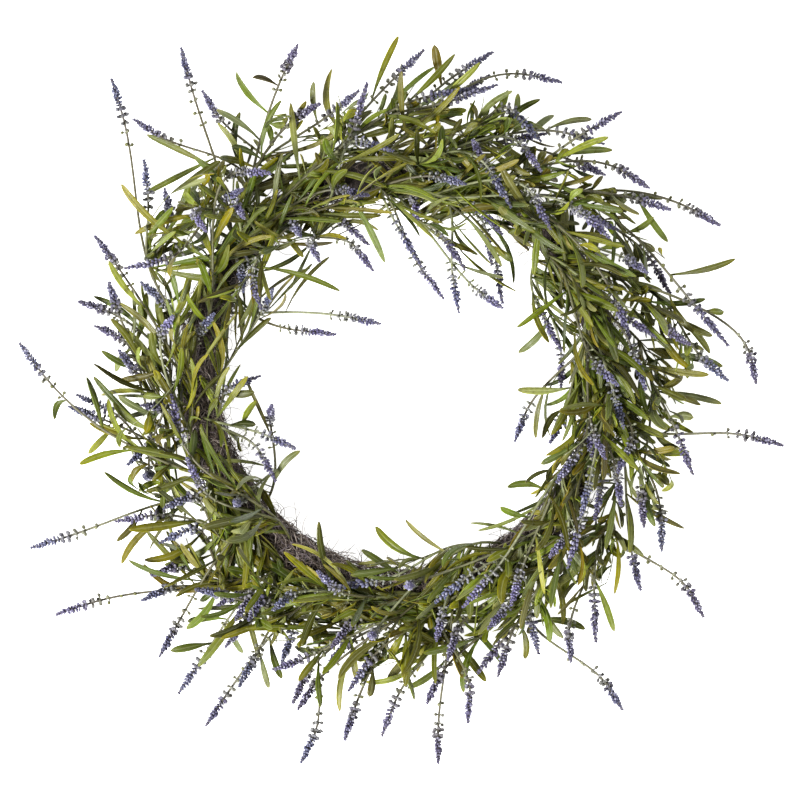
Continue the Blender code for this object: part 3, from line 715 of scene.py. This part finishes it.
leaves = [[] for _ in sprays]
places = [(number, stalk, share) for number, stalks in enumerate(sprays)
          for stalk in stalks for share in stalk.nodes]
spots = [bezier(stalk.curve, share)[0] for _, stalk, share in places]
for order, ends in enumerate(OUTLINE_LEAVES):
    ranked = sorted(range(len(places)), key=lambda index: math.dist(ends[2:], spots[index][:2]))
    for rank, chance in enumerate(chances(f"outline {order}", NEAREST_NODES * TRIES)):
        number, stalk, share = places[ranked[rank % NEAREST_NODES]]
        leaf = outline_leaf(ends, stalk, share, chance)
        if is_corner(corners[number], *end_corners(leaf)):
            leaves[number].append(leaf)
            break
outline_counts = [len(own) for own in leaves]
for number, (plan, stalks) in enumerate(zip(plans, sprays)):
    for order in range(plan.leaves):
        for chance in chances(f"leaf {number} {order}", TRIES):
            stalk = chance.choice(stalks)
            node = chance.randrange(len(stalk.nodes) - 1)
            leaf = filling_leaf(stalk, stalk.nodes[node], chance)
            if is_corner(corners[number], *end_corners(leaf)):
                leaves[number].append(leaf)
                break


# Smaller leaves fill in between them: short ones low on the stalks, where they hide the ring,
# painted darker as shade, and ones further up and on thin side stems, painted lighter as lit.
# They keep out of the way of the flower heads and the ends of the stalks, as the real wreath's
# front is combed to show its heads.
SMALL_REACH = (141, 230)
LOWEST_TIP = 3
BARE_REACH = 158
BARE_REFUSAL = 0.9
FITTING_TRIES = 30
LONGEST_LEAF = 86
SIDE_STEM_LENGTH = (34, 72)
SIDE_STEM_REACH = (138, 236)
SIDE_STEM_HEIGHT = (5, 84)
SIDE_STEM_RADIUS = (0.5, 0.3)
SIDE_STEM_STEPS = 8
SIDE_STEM_NODES = (0.4, 0.4, 0.7, 0.7, 0.98)
SIDE_STEM_TINTS = ((0.070, 0.058, 0.016), (0.110, 0.120, 0.036), (0.240, 0.260, 0.140))
# Where a leaf is held against the heads and the stalks' ends, and how much room they need
CHECKED_SHARES = (0.25, 0.45, 0.65, 0.85, 1)
HEAD_SHARES = (0, 0.33, 0.66, 1)
STALK_SHARES = (0.6, 0.68, 0.76, 0.84, 0.92)
HEAD_ROOM = 6
STALK_ROOM = 2.8
COVERED_DEPTH = 2
# For each kind of smaller leaf: its length, its width, its spread from the stem in radians, its
# tip's greatest height and how light it is: a random tone, painted darker as shade on the low
# leaves and lighter, up to a painted highlight, on the others
LeafKind = namedtuple("LeafKind", "length width spread highest light")
LOW = LeafKind((16, 40), (3.2, 6), (0.3, 1.3), 44, (0.36, 0.95))
STRAP = LeafKind((20, 48), (2.8, 6), (0.2, 0.8), 88, (0.5, 1.42))
OVAL = LeafKind((12, 21), (4.2, 6.4), (0.4, 1.1), 88, (0.7, 1.55))
# How many low leaves, ring leaves and small leaves a stalk gets where it leaves the ring between
# two angles, and anywhere else: few on the left, where rootlets show, and many along the bottom
COVERING = (((100, 150), 4, 2, 1), ((165, 222), 2, 0, 2), ((222, 262), 3, 4, 1),
            ((262, 300), 3, 4, 2))
USUAL_COVERING = (5, 2, 3)
RING_LEAF_WIDTH = (3.6, 6.6)
RING_LEAF_SWEEP = (0.06, 0.34)
heads_seen = [(stalk.neck.lerp(stalk.tip, share), HEAD_ROOM)
              for stalks in sprays for stalk in stalks for share in HEAD_SHARES]
heads_seen += [(bezier(stalk.curve, share)[0], STALK_ROOM)
               for stalks in sprays for stalk in stalks for share in STALK_SHARES]
head_tree = search_tree([Vector((place.x, place.y, 0)) for place, _ in heads_seen])


def within(value, ends):
    """Whether a number lies between two others."""
    return ends[0] < value < ends[1]


def round_ring(place):
    """Where a place lies, seen from the front: its angle round the ring in degrees, its radius."""
    out = place - RING_CENTRE
    return math.degrees(math.atan2(out.y, out.x)) % 360, math.hypot(out.x, out.y)


def on_bare_stretch(place, reach):
    """Whether a place lies inside the stretch where the rootlets show, within a radius."""
    angle, radius = round_ring(place)
    return within(angle, BARE_ARC) and radius < reach


def leaf_middle(leaf, sway, share):
    """A place on a leaf's midrib."""
    arc = 4 * share * (1 - share)
    return leaf.foot.lerp(leaf.tip, share) + leaf.bow * arc + leaf.side * sway * arc


def hides_head(leaf, sway):
    """Whether a leaf lies over a flower head or a stalk's end, seen from the front."""
    for share in CHECKED_SHARES:
        place = leaf_middle(leaf, sway, share)
        for _, index, apart in head_tree.find_range(Vector((place.x, place.y, 0)), HEAD_ROOM):
            head, room = heads_seen[index]
            if apart < room and head.z < place.z + COVERED_DEPTH:
                return True
    return False


def small_leaf(kind, foot, along, chance):
    """A smaller leaf that spreads from a place on a stem."""
    away = spreading(along, kind.spread, chance)
    tip = foot + away * chance.uniform(*kind.length)
    bow = around(away, chance) * chance.uniform(0, 4)
    return new_leaf(foot, tip, chance.uniform(*kind.width), bow, chance.uniform(-1.5, 1.5))


def ring_leaf(stalk, chance):
    """A leaf that lies along the ring's front and covers it, but for its bare inner edge."""
    foot, _ = bezier(stalk.curve, chance.uniform(0, 0.15))
    out = foot - RING_CENTRE
    angle = math.atan2(out.y, out.x) - chance.uniform(*RING_LEAF_SWEEP)
    bare = within(math.degrees(angle) % 360, BARE_ARC)
    turn = math.radians(chance.uniform(15, 85) if bare else chance.uniform(25, 130))
    tip = bundle_place(angle, turn, BUNDLE_RADIUS + chance.uniform(2, 9))
    bow = UP * chance.uniform(2, 7) + out.normalized() * chance.uniform(-4, 4)
    return new_leaf(foot, tip, chance.uniform(*RING_LEAF_WIDTH), bow, chance.uniform(-0.9, 0.9))


def fitting_leaf(name, kinds, foot_and_along):
    """The first small leaf, with its kind, that keeps to the wreath and shows its heads."""
    for chance in chances(name, FITTING_TRIES):
        kind = chance.choice(kinds)
        leaf = small_leaf(kind, *foot_and_along(chance), chance)
        _, radius = round_ring(leaf.tip)
        fits = within(radius, SMALL_REACH) and within(leaf.tip.z, (LOWEST_TIP, kind.highest))
        if (fits and not hides_head(leaf, 0)
                and not (on_bare_stretch(leaf.tip, BARE_REACH) and chance.random() < BARE_REFUSAL)):
            return [(kind, leaf)]
    return []


def covering(stalk):
    """How many low leaves, ring leaves and small leaves a stalk gets."""
    angle, _ = round_ring(stalk.start)
    for arc, *counts in COVERING:
        if within(angle, arc):
            return counts
    return USUAL_COVERING


def side_stem(stalk, name):
    """The curve of the first thin side stem that keeps to the wreath, if any does."""
    for chance in chances(name, FITTING_TRIES):
        foot, along = bezier(stalk.curve, chance.uniform(0.05, 0.6))
        length = chance.uniform(*SIDE_STEM_LENGTH)
        heading = (along + around(along, chance) * chance.uniform(0.2, 0.6)).normalized()
        later = (heading + around(heading, chance) * 0.4).normalized()
        end = foot + (heading + later) * length * 0.5
        _, radius = round_ring(end)
        if (within(radius, SIDE_STEM_REACH) and within(end.z, SIDE_STEM_HEIGHT)
                and not on_bare_stretch(end, BARE_REACH)):
            return foot, foot + heading * length * 0.3, foot + heading * length * 0.6, end
    return None


side_stems = [[] for _ in sprays]
small_leaves = [[] for _ in sprays]
for number, stalks in enumerate(sprays):
    own = small_leaves[number]
    for stalk in stalks:
        label = f"{number} {stalk.order}"
        low_count, ring_count, small_count = covering(stalk)
        for order in range(low_count):
            own += fitting_leaf(f"low leaf {label} {order}", (LOW,),
                                lambda chance: bezier(stalk.curve, chance.uniform(0, 0.3)))
        for order in range(ring_count):
            leaf = ring_leaf(stalk, random.Random(f"ring leaf {label} {order}"))
            if (leaf.tip - leaf.foot).length < LONGEST_LEAF and not hides_head(leaf, 0):
                own.append((LOW, leaf))
        for order in range(small_count):
            own += fitting_leaf(f"small leaf {label} {order}", (STRAP, STRAP, OVAL),
                                lambda chance: bezier(stalk.curve, chance.uniform(0.1, 0.7)))
        curve = side_stem(stalk, f"side stem {label} 0")
        if curve:
            side_stems[number].append(curve)
            for order, share in enumerate(SIDE_STEM_NODES):
                own += fitting_leaf(f"side leaf {label} 0 {order}", (STRAP, STRAP, OVAL),
                                    lambda chance: bezier(curve, share))
for name, curves in zip(spray_names, side_stems):
    steps = [step / SIDE_STEM_STEPS for step in range(SIDE_STEM_STEPS + 1)]
    routes = [[(bezier(curve, share)[0], between(*SIDE_STEM_RADIUS, share), tint)
               for share in steps] for curve, tint in zip(curves, SIDE_STEM_TINTS)]
    if routes:
        piece = tubes(f"{name}_side_stems", routes, 4, stalk_green)
        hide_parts(name)


# Both kinds of leaf are cut from the same printed cloth: folded along the midrib, which is printed
# paler, with fine streaks beside it, and the back paler and dull. Some are fresh green, others
# olive or yellowing. They are bent and twisted by hand, so that the heads show between them.
LEAF_STEPS = 8
LEAF_THICKNESS = 0.45
LEAF_NARROWING = (0.36, 1.0, 0.58)
OUTER_LEAVES = 226
OUTER_NARROWING = 0.66
INNER_LEAVES = 155
BARE_LEAVES = 176
INNER_NARROWING = 0.72
OUTLINE_NARROWING = 0.76
TWIST = 0.9
OUTLINE_TWIST = 0.35
# How far a leaf's tip is pressed down, try by try, until it shows the heads, and how far it sways
DROPS = (0, 0, 0, 5, 5, 5, 10, 10, 10, 15, 15, 15)
MOST_SWAY = 0.13
USUAL_SWAY = 0.07
# A leaf's outline: how its steps crowd towards the tip, where it is widest, and how wide its foot,
# its end and the rounding of its tip are, as shares of its width
CROWDING = 1.8
BELLY = 0.62
FOOT_WIDTH = 0.16
END_WIDTH = 0.22
TIP_ROUNDING = 0.12
BLUNTNESS = (5, 15, 9)
FOLD = (0.12, 0.6)
LEAF_GREENS = (
    ((0.052, 0.050, 0.000), 5), ((0.041, 0.064, 0.002), 6), ((0.108, 0.104, 0.001), 3),
    ((0.087, 0.127, 0.006), 7), ((0.149, 0.188, 0.012), 4), ((0.242, 0.262, 0.042), 2),
    ((0.146, 0.170, 0.068), 3), ((0.132, 0.122, 0.030), 1), ((0.112, 0.080, 0.000), 2),
)
LEAF_GOLD = (0.275, 0.222, 0.000)
DRIED_BROWN = (0.052, 0.041, 0.001)
# A pale green washed over some leaves' streaks as a painted sheen
SHEEN_GREEN = (0.34, 0.37, 0.19)
MIDRIB_GREEN = (0.38, 0.40, 0.22)
AGED_YELLOW = (0.21, 0.172, 0.000)
BACK_GREEN = (0.15, 0.18, 0.06)


def uncovering(leaf, chance):
    """A leaf and its sideways sway, bent aside or down so that it shows the heads if it can."""
    length = (leaf.tip - leaf.foot).length
    for drop in DROPS:
        sway = chance.uniform(-MOST_SWAY, MOST_SWAY) * (1 + drop / 20) * length
        bent = leaf._replace(tip=leaf.tip - UP * min(drop, max(0, leaf.tip.z - 4)),
                             bow=leaf.bow - UP * drop / 2)
        if not hides_head(bent, sway):
            return bent, sway
    return leaf, chance.uniform(-USUAL_SWAY, USUAL_SWAY) * length


def narrowing_of(leaf, shown_whole, chance):
    """How far a leaf is narrowed: less if it is shown whole, more over the bare ring."""
    narrowing = chance.triangular(*LEAF_NARROWING)
    _, radius = round_ring(leaf.tip)
    if radius > OUTER_LEAVES:
        narrowing = max(narrowing, OUTER_NARROWING)
    if radius < INNER_LEAVES or on_bare_stretch(leaf.tip, BARE_LEAVES):
        narrowing *= INNER_NARROWING
    return max(narrowing, OUTLINE_NARROWING) if shown_whole else narrowing


def add_leaf(shape, layer, leaf, width, sway, light, most_twist, chance):
    """Add one leaf to a spray's leaves: a grid drawn out to its outline, bowed and twisted."""
    greens, weights = zip(*LEAF_GREENS)
    first, second = chance.choices(greens, weights, k=2)
    # The leaf's brightness: a random tone, with painted shade on low leaves and painted light on
    # the others
    light = chance.uniform(*light)
    foot_tint = [light * part for part in mix(first, second, 0.25)]
    tip_tint = mix(foot_tint, LEAF_GOLD, 0.7 * chance.random() ** 3.5)
    if chance.random() < 0.15:
        foot_tint, tip_tint = tip_tint, foot_tint
    twist = chance.uniform(-most_twist, most_twist)
    fold = chance.uniform(*FOLD)
    bluntness = chance.triangular(*BLUNTNESS)
    # How much painted sheen this leaf gets; it rides in the tint's alpha
    sheen_amount = min(1, light) * chance.random() ** 3
    grid = bmesh.ops.create_grid(shape, x_segments=2, y_segments=LEAF_STEPS, size=1,
                                 calc_uvs=True)["verts"]
    midrib = [vert for vert in grid if abs(vert.co.x) < 0.1]
    along = (leaf.tip - leaf.foot).normalized()
    for vert in grid:
        across = vert.co.x
        share = 1 - (1 - (vert.co.y + 1) / 2) ** CROWDING
        grown = min(share / BELLY, 1)
        breadth = FOOT_WIDTH + (1 - FOOT_WIDTH) * grown * grown * (3 - 2 * grown)
        breadth = breadth * max(END_WIDTH, math.sqrt(1 - share ** bluntness))
        turn = Matrix.Rotation(twist * (share - 0.3), 3, along)
        side = turn @ leaf.side
        face = turn @ leaf.face
        half = width / 2 * breadth
        tip_round = along * (TIP_ROUNDING * width * (1 - abs(across)) if share == 1 else 0)
        vert.co = (leaf_middle(leaf, sway, share) + side * half * across
                   + face * half * fold * abs(across) + tip_round) * MM
        vert.co.z = max(vert.co.z, LOWEST * MM)
        vert[layer] = (*mix(foot_tint, tip_tint, share), sheen_amount)
    for vert in midrib:
        for edge in vert.link_edges:
            edge.smooth = edge.other_vert(vert) not in midrib


def leaf_print(name, shades, wash):
    """A leaf's print: streaks beside a midrib, brown mottling and yellow towards the tip, with a
    painted sheen on some streaks and edges painted lighter as a painted highlight.
    """
    made = Finish(name, specular=0.31)
    painted = made.node("Attribute", attribute_name="tint")
    spot = made.node("UVMap")["UV"]
    parts = made.node("SeparateXYZ", ("Vector", spot))
    place = made.place()
    stretched = made.node("Mapping", ("Vector", spot), ("Scale", (26, 1.6, 1)))["Vector"]
    own_place = made.vector("MULTIPLY", place, (40, 40, 40))
    streaks = made.noise(made.vector("ADD", stretched, own_place), 1, 2)
    blotches = made.noise(place, 150, 6, 0.68)
    off_rib = made.number("ABSOLUTE", made.number("SUBTRACT", parts["X"], 0.5))
    lit = made.number("MULTIPLY", made.level(streaks, *shades), made.level(blotches, 0.78, 1.22))
    # Painted highlight: the leaf's edges, away from the midrib, are painted up to half again
    # lighter
    lit = made.number("MULTIPLY", lit, made.level(off_rib, 1, 1.5, 0.4, 0.5))
    colour = made.vector("MULTIPLY", painted["Color"], lit)
    colour = made.mixed(made.level(blotches, 0.5, 0, 0.32, 0.46), colour, DRIED_BROWN)
    # Painted sheen: on leaves that have some, the streaks are washed pale green
    sheen_share = made.number("MULTIPLY", made.level(streaks, 0, 0.7, 0.48, 0.72), painted["Alpha"])
    colour = made.mixed(sheen_share, colour, SHEEN_GREEN)
    colour = made.mixed(made.level(off_rib, 0.24, 0, 0.02, 0.1), colour, MIDRIB_GREEN)
    age = made.number("ADD", parts["Y"], blotches)
    colour = made.mixed(made.level(age, 0, 0.45, 1.2, 1.65), colour, AGED_YELLOW)
    made.lead(made.mixed(wash, colour, BACK_GREEN), "Base Color")
    made.emboss(streaks, 0.5, 0.5)
    made.lead(made.level(blotches, 0.24, 0.42), "Roughness")
    return made


leaf_face = leaf_print("leaf face", shades=(0.66, 1.26), wash=0.0)
leaf_back = leaf_print("leaf back", shades=(0.75, 1.18), wash=0.1)
for number, name in enumerate(spray_names):
    shape = bmesh.new()
    shape.loops.layers.uv.new("UVMap")
    layer = shape.verts.layers.float_color.new("tint")
    for order, leaf in enumerate(leaves[number]):
        chance = random.Random(f"leaf look {number} {order}")
        leaf, sway = uncovering(leaf, chance)
        shown_whole = order < outline_counts[number]
        width = leaf.width * narrowing_of(leaf, shown_whole, chance)
        most_twist = OUTLINE_TWIST if shown_whole else TWIST
        add_leaf(shape, layer, leaf, width, sway, STRAP.light, most_twist, chance)
    for order, (kind, leaf) in enumerate(small_leaves[number]):
        chance = random.Random(f"small leaf look {number} {order}")
        add_leaf(shape, layer, leaf, leaf.width, 0, kind.light, TWIST, chance)
    piece = new_piece(f"{name}_leaves", shape, [leaf_face, leaf_back])
    thicken = piece.modifiers.new("cloth", "SOLIDIFY")
    thicken.thickness = LEAF_THICKNESS * MM
    thicken.offset = -1
    thicken.material_offset = 1
    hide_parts(name)


# A flower head is a spike of small swollen buds in close whorls, moulded soft and painted: dusty
# violet and greenish at the spike's foot. Each bud is near black at its foot, the calyx's darker
# violet with painted shade between the buds, and paler at its end, partly its paler petals and
# partly a painted highlight. Behind the dense spike a few loose whorls stand off the stalk on
# short green pedicels.
WHORLS = 10
BUDS_PER_WHORL = 6
SPIKE_PATTERNS = 6
BUD_LENGTH = 3.5
BUD_WIDTH = 2.1
KNOB_LENGTH = 3.6
KNOB_WIDTHS = (3.5, 2.4, 2.4)
LOOSE_WHORLS = ((2.5, 5), (7.5, 5), (13, 4), (20, 3), (30, 2), (41, 2))
DOUBLED_WHORLS = 10
PEDICEL = 1.9
PEDICEL_RADIUS = (0.6, 0.55)
KNOB_ROOM = 2.5
SHADED_DARK_VIOLET = (0.020, 0.015, 0.038)
# The violet of the outer, top and inner heads: one violet, painted darker as shade on the outer
# heads and lighter as lit on the top ones
VIOLETS = (
    (0.116, 0.100, 0.178), (0.174, 0.157, 0.318), (0.146, 0.127, 0.250),
)
STEEL_BLUE = (0.098, 0.122, 0.205)
GREY_GREEN = (0.210, 0.218, 0.165)
PEDICEL_GREEN = (0.170, 0.175, 0.080)
HIGHLIGHT_PALE_LILAC = (0.680, 0.670, 0.820)
SPIKE_SHARE = 0.93
FULL_TURN = 6.3
# The tint of a loose whorl next to the spike and of the furthest one: on the outer heads, painted
# darker as shade, and on the rest
LOOSE_TINTS = (
    ((0.080, 0.066, 0.112), (0.154, 0.158, 0.054)), ((0.220, 0.212, 0.255), (0.235, 0.255, 0.100)),
)


def add_bud(shape, layer, place, width, length, tints):
    """Add one swollen bud: narrow at its foot and paler at its end, where its tints carry painted
    shade at its foot and a painted highlight at its end.
    """
    bud = bmesh.ops.create_icosphere(shape, subdivisions=1, radius=1)["verts"]
    foot, end = tints
    for vert in bud:
        share = (vert.co.z + 1) / 2
        waist = 0.62 + 0.38 * math.sin(math.pi * min(1, 0.12 + share * 0.75))
        vert[layer] = (*mix(foot, end, share ** 1.5), 1)
        vert.co = place @ (Vector((vert.co.x * waist * width / 2, vert.co.y * waist * width / 2,
                                   share * length)) * MM)


def standing(place, along):
    """Where a shape goes that stands on a place in millimetres and points along a direction."""
    return Matrix.Translation(place * MM) @ along.to_track_quat("Z", "Y").to_matrix().to_4x4()


def spike_pattern(number):
    """A dense spike along +Z whose tint runs from 0 at a bud's foot to 1 at its end."""
    chance = random.Random(f"spike {number}")
    shape = bmesh.new()
    layer = shape.verts.layers.float_color.new("tint")
    for whorl in range(WHORLS):
        share = (whorl + 0.3) / WHORLS
        size = 0.92 + 0.28 * math.sin(math.pi * min(1, 1.25 * share)) - 0.46 * share ** 3
        for bud in range(BUDS_PER_WHORL):
            turn = (bud + whorl / 2 + chance.uniform(-0.25, 0.25)) * 2 * math.pi / BUDS_PER_WHORL
            tilt = 1.15 - 0.85 * share + chance.uniform(-0.25, 0.25)
            height = share * HEAD_LENGTH + chance.uniform(-0.6, 0.6)
            place = (Matrix.Translation((0, 0, height * MM)) @ Matrix.Rotation(turn, 4, "Z")
                     @ Matrix.Translation((0.45 * MM, 0, 0)) @ Matrix.Rotation(tilt, 4, "Y"))
            pale = chance.random()
            green = max(0, 1 - share * 5) * chance.uniform(0.3, 1)
            grown = size * chance.uniform(0.75, 1.2)
            add_bud(shape, layer, place, grown * BUD_WIDTH, grown * BUD_LENGTH,
                    ((0, green, pale), (1, green, pale)))
    mesh = bpy.data.meshes.new("spike")
    shape.to_mesh(mesh)
    shape.free()
    return mesh


def add_spike(shape, layer, stalk, pattern, violet, chance):
    """Set a spike on a stalk's neck and paint it."""
    before = len(shape.verts)
    shape.from_mesh(pattern)
    shape.verts.ensure_lookup_table()
    turn = Matrix.Rotation(chance.uniform(0, FULL_TURN), 4, "Z")
    length = (stalk.tip - stalk.neck).length / HEAD_LENGTH * SPIKE_SHARE
    place = standing(stalk.neck, stalk.axis) @ turn @ Matrix.Diagonal((1, 1, length, 1))
    for vert in shape.verts[before:]:
        end, green, pale, _ = vert[layer]
        # Painted shade at a bud's foot and, on some buds, a painted highlight of pale lilac at its
        # end
        tint = mix(SHADED_DARK_VIOLET, mix(violet, HIGHLIGHT_PALE_LILAC, pale ** 3 * max(0, end - 0.2)), end)
        vert[layer] = (*mix(tint, GREY_GREEN, green * (0.8 if stalk.kind else 0.2)), 1)
        vert.co = place @ vert.co


def loose_whorl(shape, layer, stalk, back, count, violet, chance):
    """Add a loose whorl some way behind a stalk's neck and return its pedicels."""
    foot, along = bezier(stalk.curve, 1 - back / (stalk.neck - stalk.start).length)
    near, far = LOOSE_TINTS[min(stalk.kind, 1)]
    end = mix(mix(near, violet, 0.4), far, min(1, max(0, back / 26 + chance.uniform(-0.2, 0.2))))
    spin = chance.uniform(0, FULL_TURN)
    first = along.orthogonal().normalized()
    routes = []
    for bud in range(count):
        turn = spin + (bud + chance.uniform(-0.2, 0.2)) * 2 * math.pi / count
        across = Matrix.Rotation(turn, 3, along) @ first
        tilt = chance.uniform(1.0, 1.5)
        away = (along * math.cos(tilt) + across * math.sin(tilt)).normalized()
        reach = PEDICEL * chance.uniform(0.6, 1.25)
        seat = foot + away * reach
        if (seat + away * KNOB_LENGTH).z < KNOB_ROOM:
            continue
        stem_tint = mix(PEDICEL_GREEN, end, 0.6)
        routes.append([(foot, PEDICEL_RADIUS[0], stem_tint),
                       (seat + away * 0.5, PEDICEL_RADIUS[1], stem_tint)])
        for pair in range(2 if back < DOUBLED_WHORLS else 1):
            aside = across.cross(along) * (pair - 0.5) * chance.uniform(0.2, 0.9)
            place = standing(seat, (away + aside).normalized())
            # A knob is painted half black at its foot, as shade, and a little whiter at its end, as
            # a painted highlight
            add_bud(shape, layer, place, KNOB_WIDTHS[stalk.kind] * chance.uniform(0.75, 1.1),
                    KNOB_LENGTH * chance.uniform(0.8, 1.15),
                    (mix(end, (0, 0, 0), 0.5), mix(end, (1, 1, 1), chance.uniform(0, 0.16))))
    return routes


floret = grained("floret violet", 0.7, grain=(1500, 2), shades=(0.6, 1.5), relief=(0.5, 0.3),
                 specular=0.28)
patterns = [spike_pattern(number) for number in range(SPIKE_PATTERNS)]
for number, (name, stalks) in enumerate(zip(spray_names, sprays)):
    shape = bmesh.new()
    layer = shape.verts.layers.float_color.new("tint")
    pedicels = []
    for stalk in stalks:
        chance = random.Random(f"flowers {number} {stalk.order}")
        look = random.Random(f"flower look {number} {stalk.order}")
        violet = mix(VIOLETS[stalk.kind], chance.choice(VIOLETS), 0.4)
        violet = mix(violet, STEEL_BLUE, 0.8 * look.random() ** 2)
        shade = look.uniform(0.8, 1.18)
        violet = [shade * part for part in violet]
        add_spike(shape, layer, stalk, chance.choice(patterns), violet, chance)
        for back, count in LOOSE_WHORLS[:chance.randint(3 if stalk.kind else 5, 6)]:
            if back < (stalk.neck - stalk.start).length * 0.5:
                pedicels += loose_whorl(shape, layer, stalk, back, count, violet, chance)
    piece = new_piece(f"{name}_flowers", shape, [floret])
    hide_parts(name)
    if pedicels:
        piece = tubes(f"{name}_pedicels", pedicels, 4, stalk_green)
        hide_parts(name)


# The wreath lies on a plain white table top that is lit from within, so that the shadows under
# the foliage stay as faint as in the photograph.
TABLE_HALF = 3
TABLE_DEPTH = 0.001
table_white = Finish("white table", 0.8)
table_white.shader["Base Color"].default_value = (0.92, 0.92, 0.92, 1)
table_white.shader["Emission Color"].default_value = (1, 1, 1, 1)
table_white.shader["Emission Strength"].default_value = 0.9
sheet = bmesh.new()
bmesh.ops.create_grid(sheet, x_segments=1, y_segments=1, size=TABLE_HALF)
bmesh.ops.translate(sheet, vec=(0, 0, -TABLE_DEPTH), verts=sheet.verts)
table_mesh = bpy.data.meshes.new("table_top")
sheet.to_mesh(table_mesh)
sheet.free()
table_mesh.materials.append(table_white.material)
table_top = bpy.data.objects.new("table_top", table_mesh)
bpy.context.scene.collection.objects.link(table_top)


# Soft studio light: a large panel above the lower left, a weaker one at the upper right, and a
# pale room all round. The camera looks straight down.
CAMERA_PLACE = (-0.0016, 0.0008, 4.035)
FOLIAGE_HEIGHT = 0.035
VIEW_WIDTH = 0.64
SENSOR = 36


def light_panel(name, place, size, power):
    """A square light panel that faces the wreath."""
    panel = bpy.data.lights.new(name, "AREA")
    panel.shape = "SQUARE"
    panel.size = size
    panel.energy = power
    lamp = bpy.data.objects.new(name, panel)
    lamp.location = place
    lamp.rotation_euler = Vector(place).to_track_quat("Z", "Y").to_euler()
    bpy.context.scene.collection.objects.link(lamp)


light_panel("key_panel", (-1.6, -1.1, 2.45), 0.8, 200)
light_panel("fill_panel", (1.7, 1.5, 2.0), 1.8, 30)
room = bpy.data.worlds.new("pale room")
room.use_nodes = True
room.node_tree.nodes["Background"].inputs["Color"].default_value = (1, 0.98, 0.89, 1)
room.node_tree.nodes["Background"].inputs["Strength"].default_value = 0.3
bpy.context.scene.world = room
bpy.context.scene.view_settings.view_transform = "Standard"
lens = bpy.data.cameras.new("camera")
lens.sensor_width = SENSOR
lens.lens = SENSOR * (CAMERA_PLACE[2] - FOLIAGE_HEIGHT) / VIEW_WIDTH
lens.clip_end = 20
camera = bpy.data.objects.new("camera", lens)
camera.location = CAMERA_PLACE
bpy.context.scene.collection.objects.link(camera)
bpy.context.scene.camera = camera
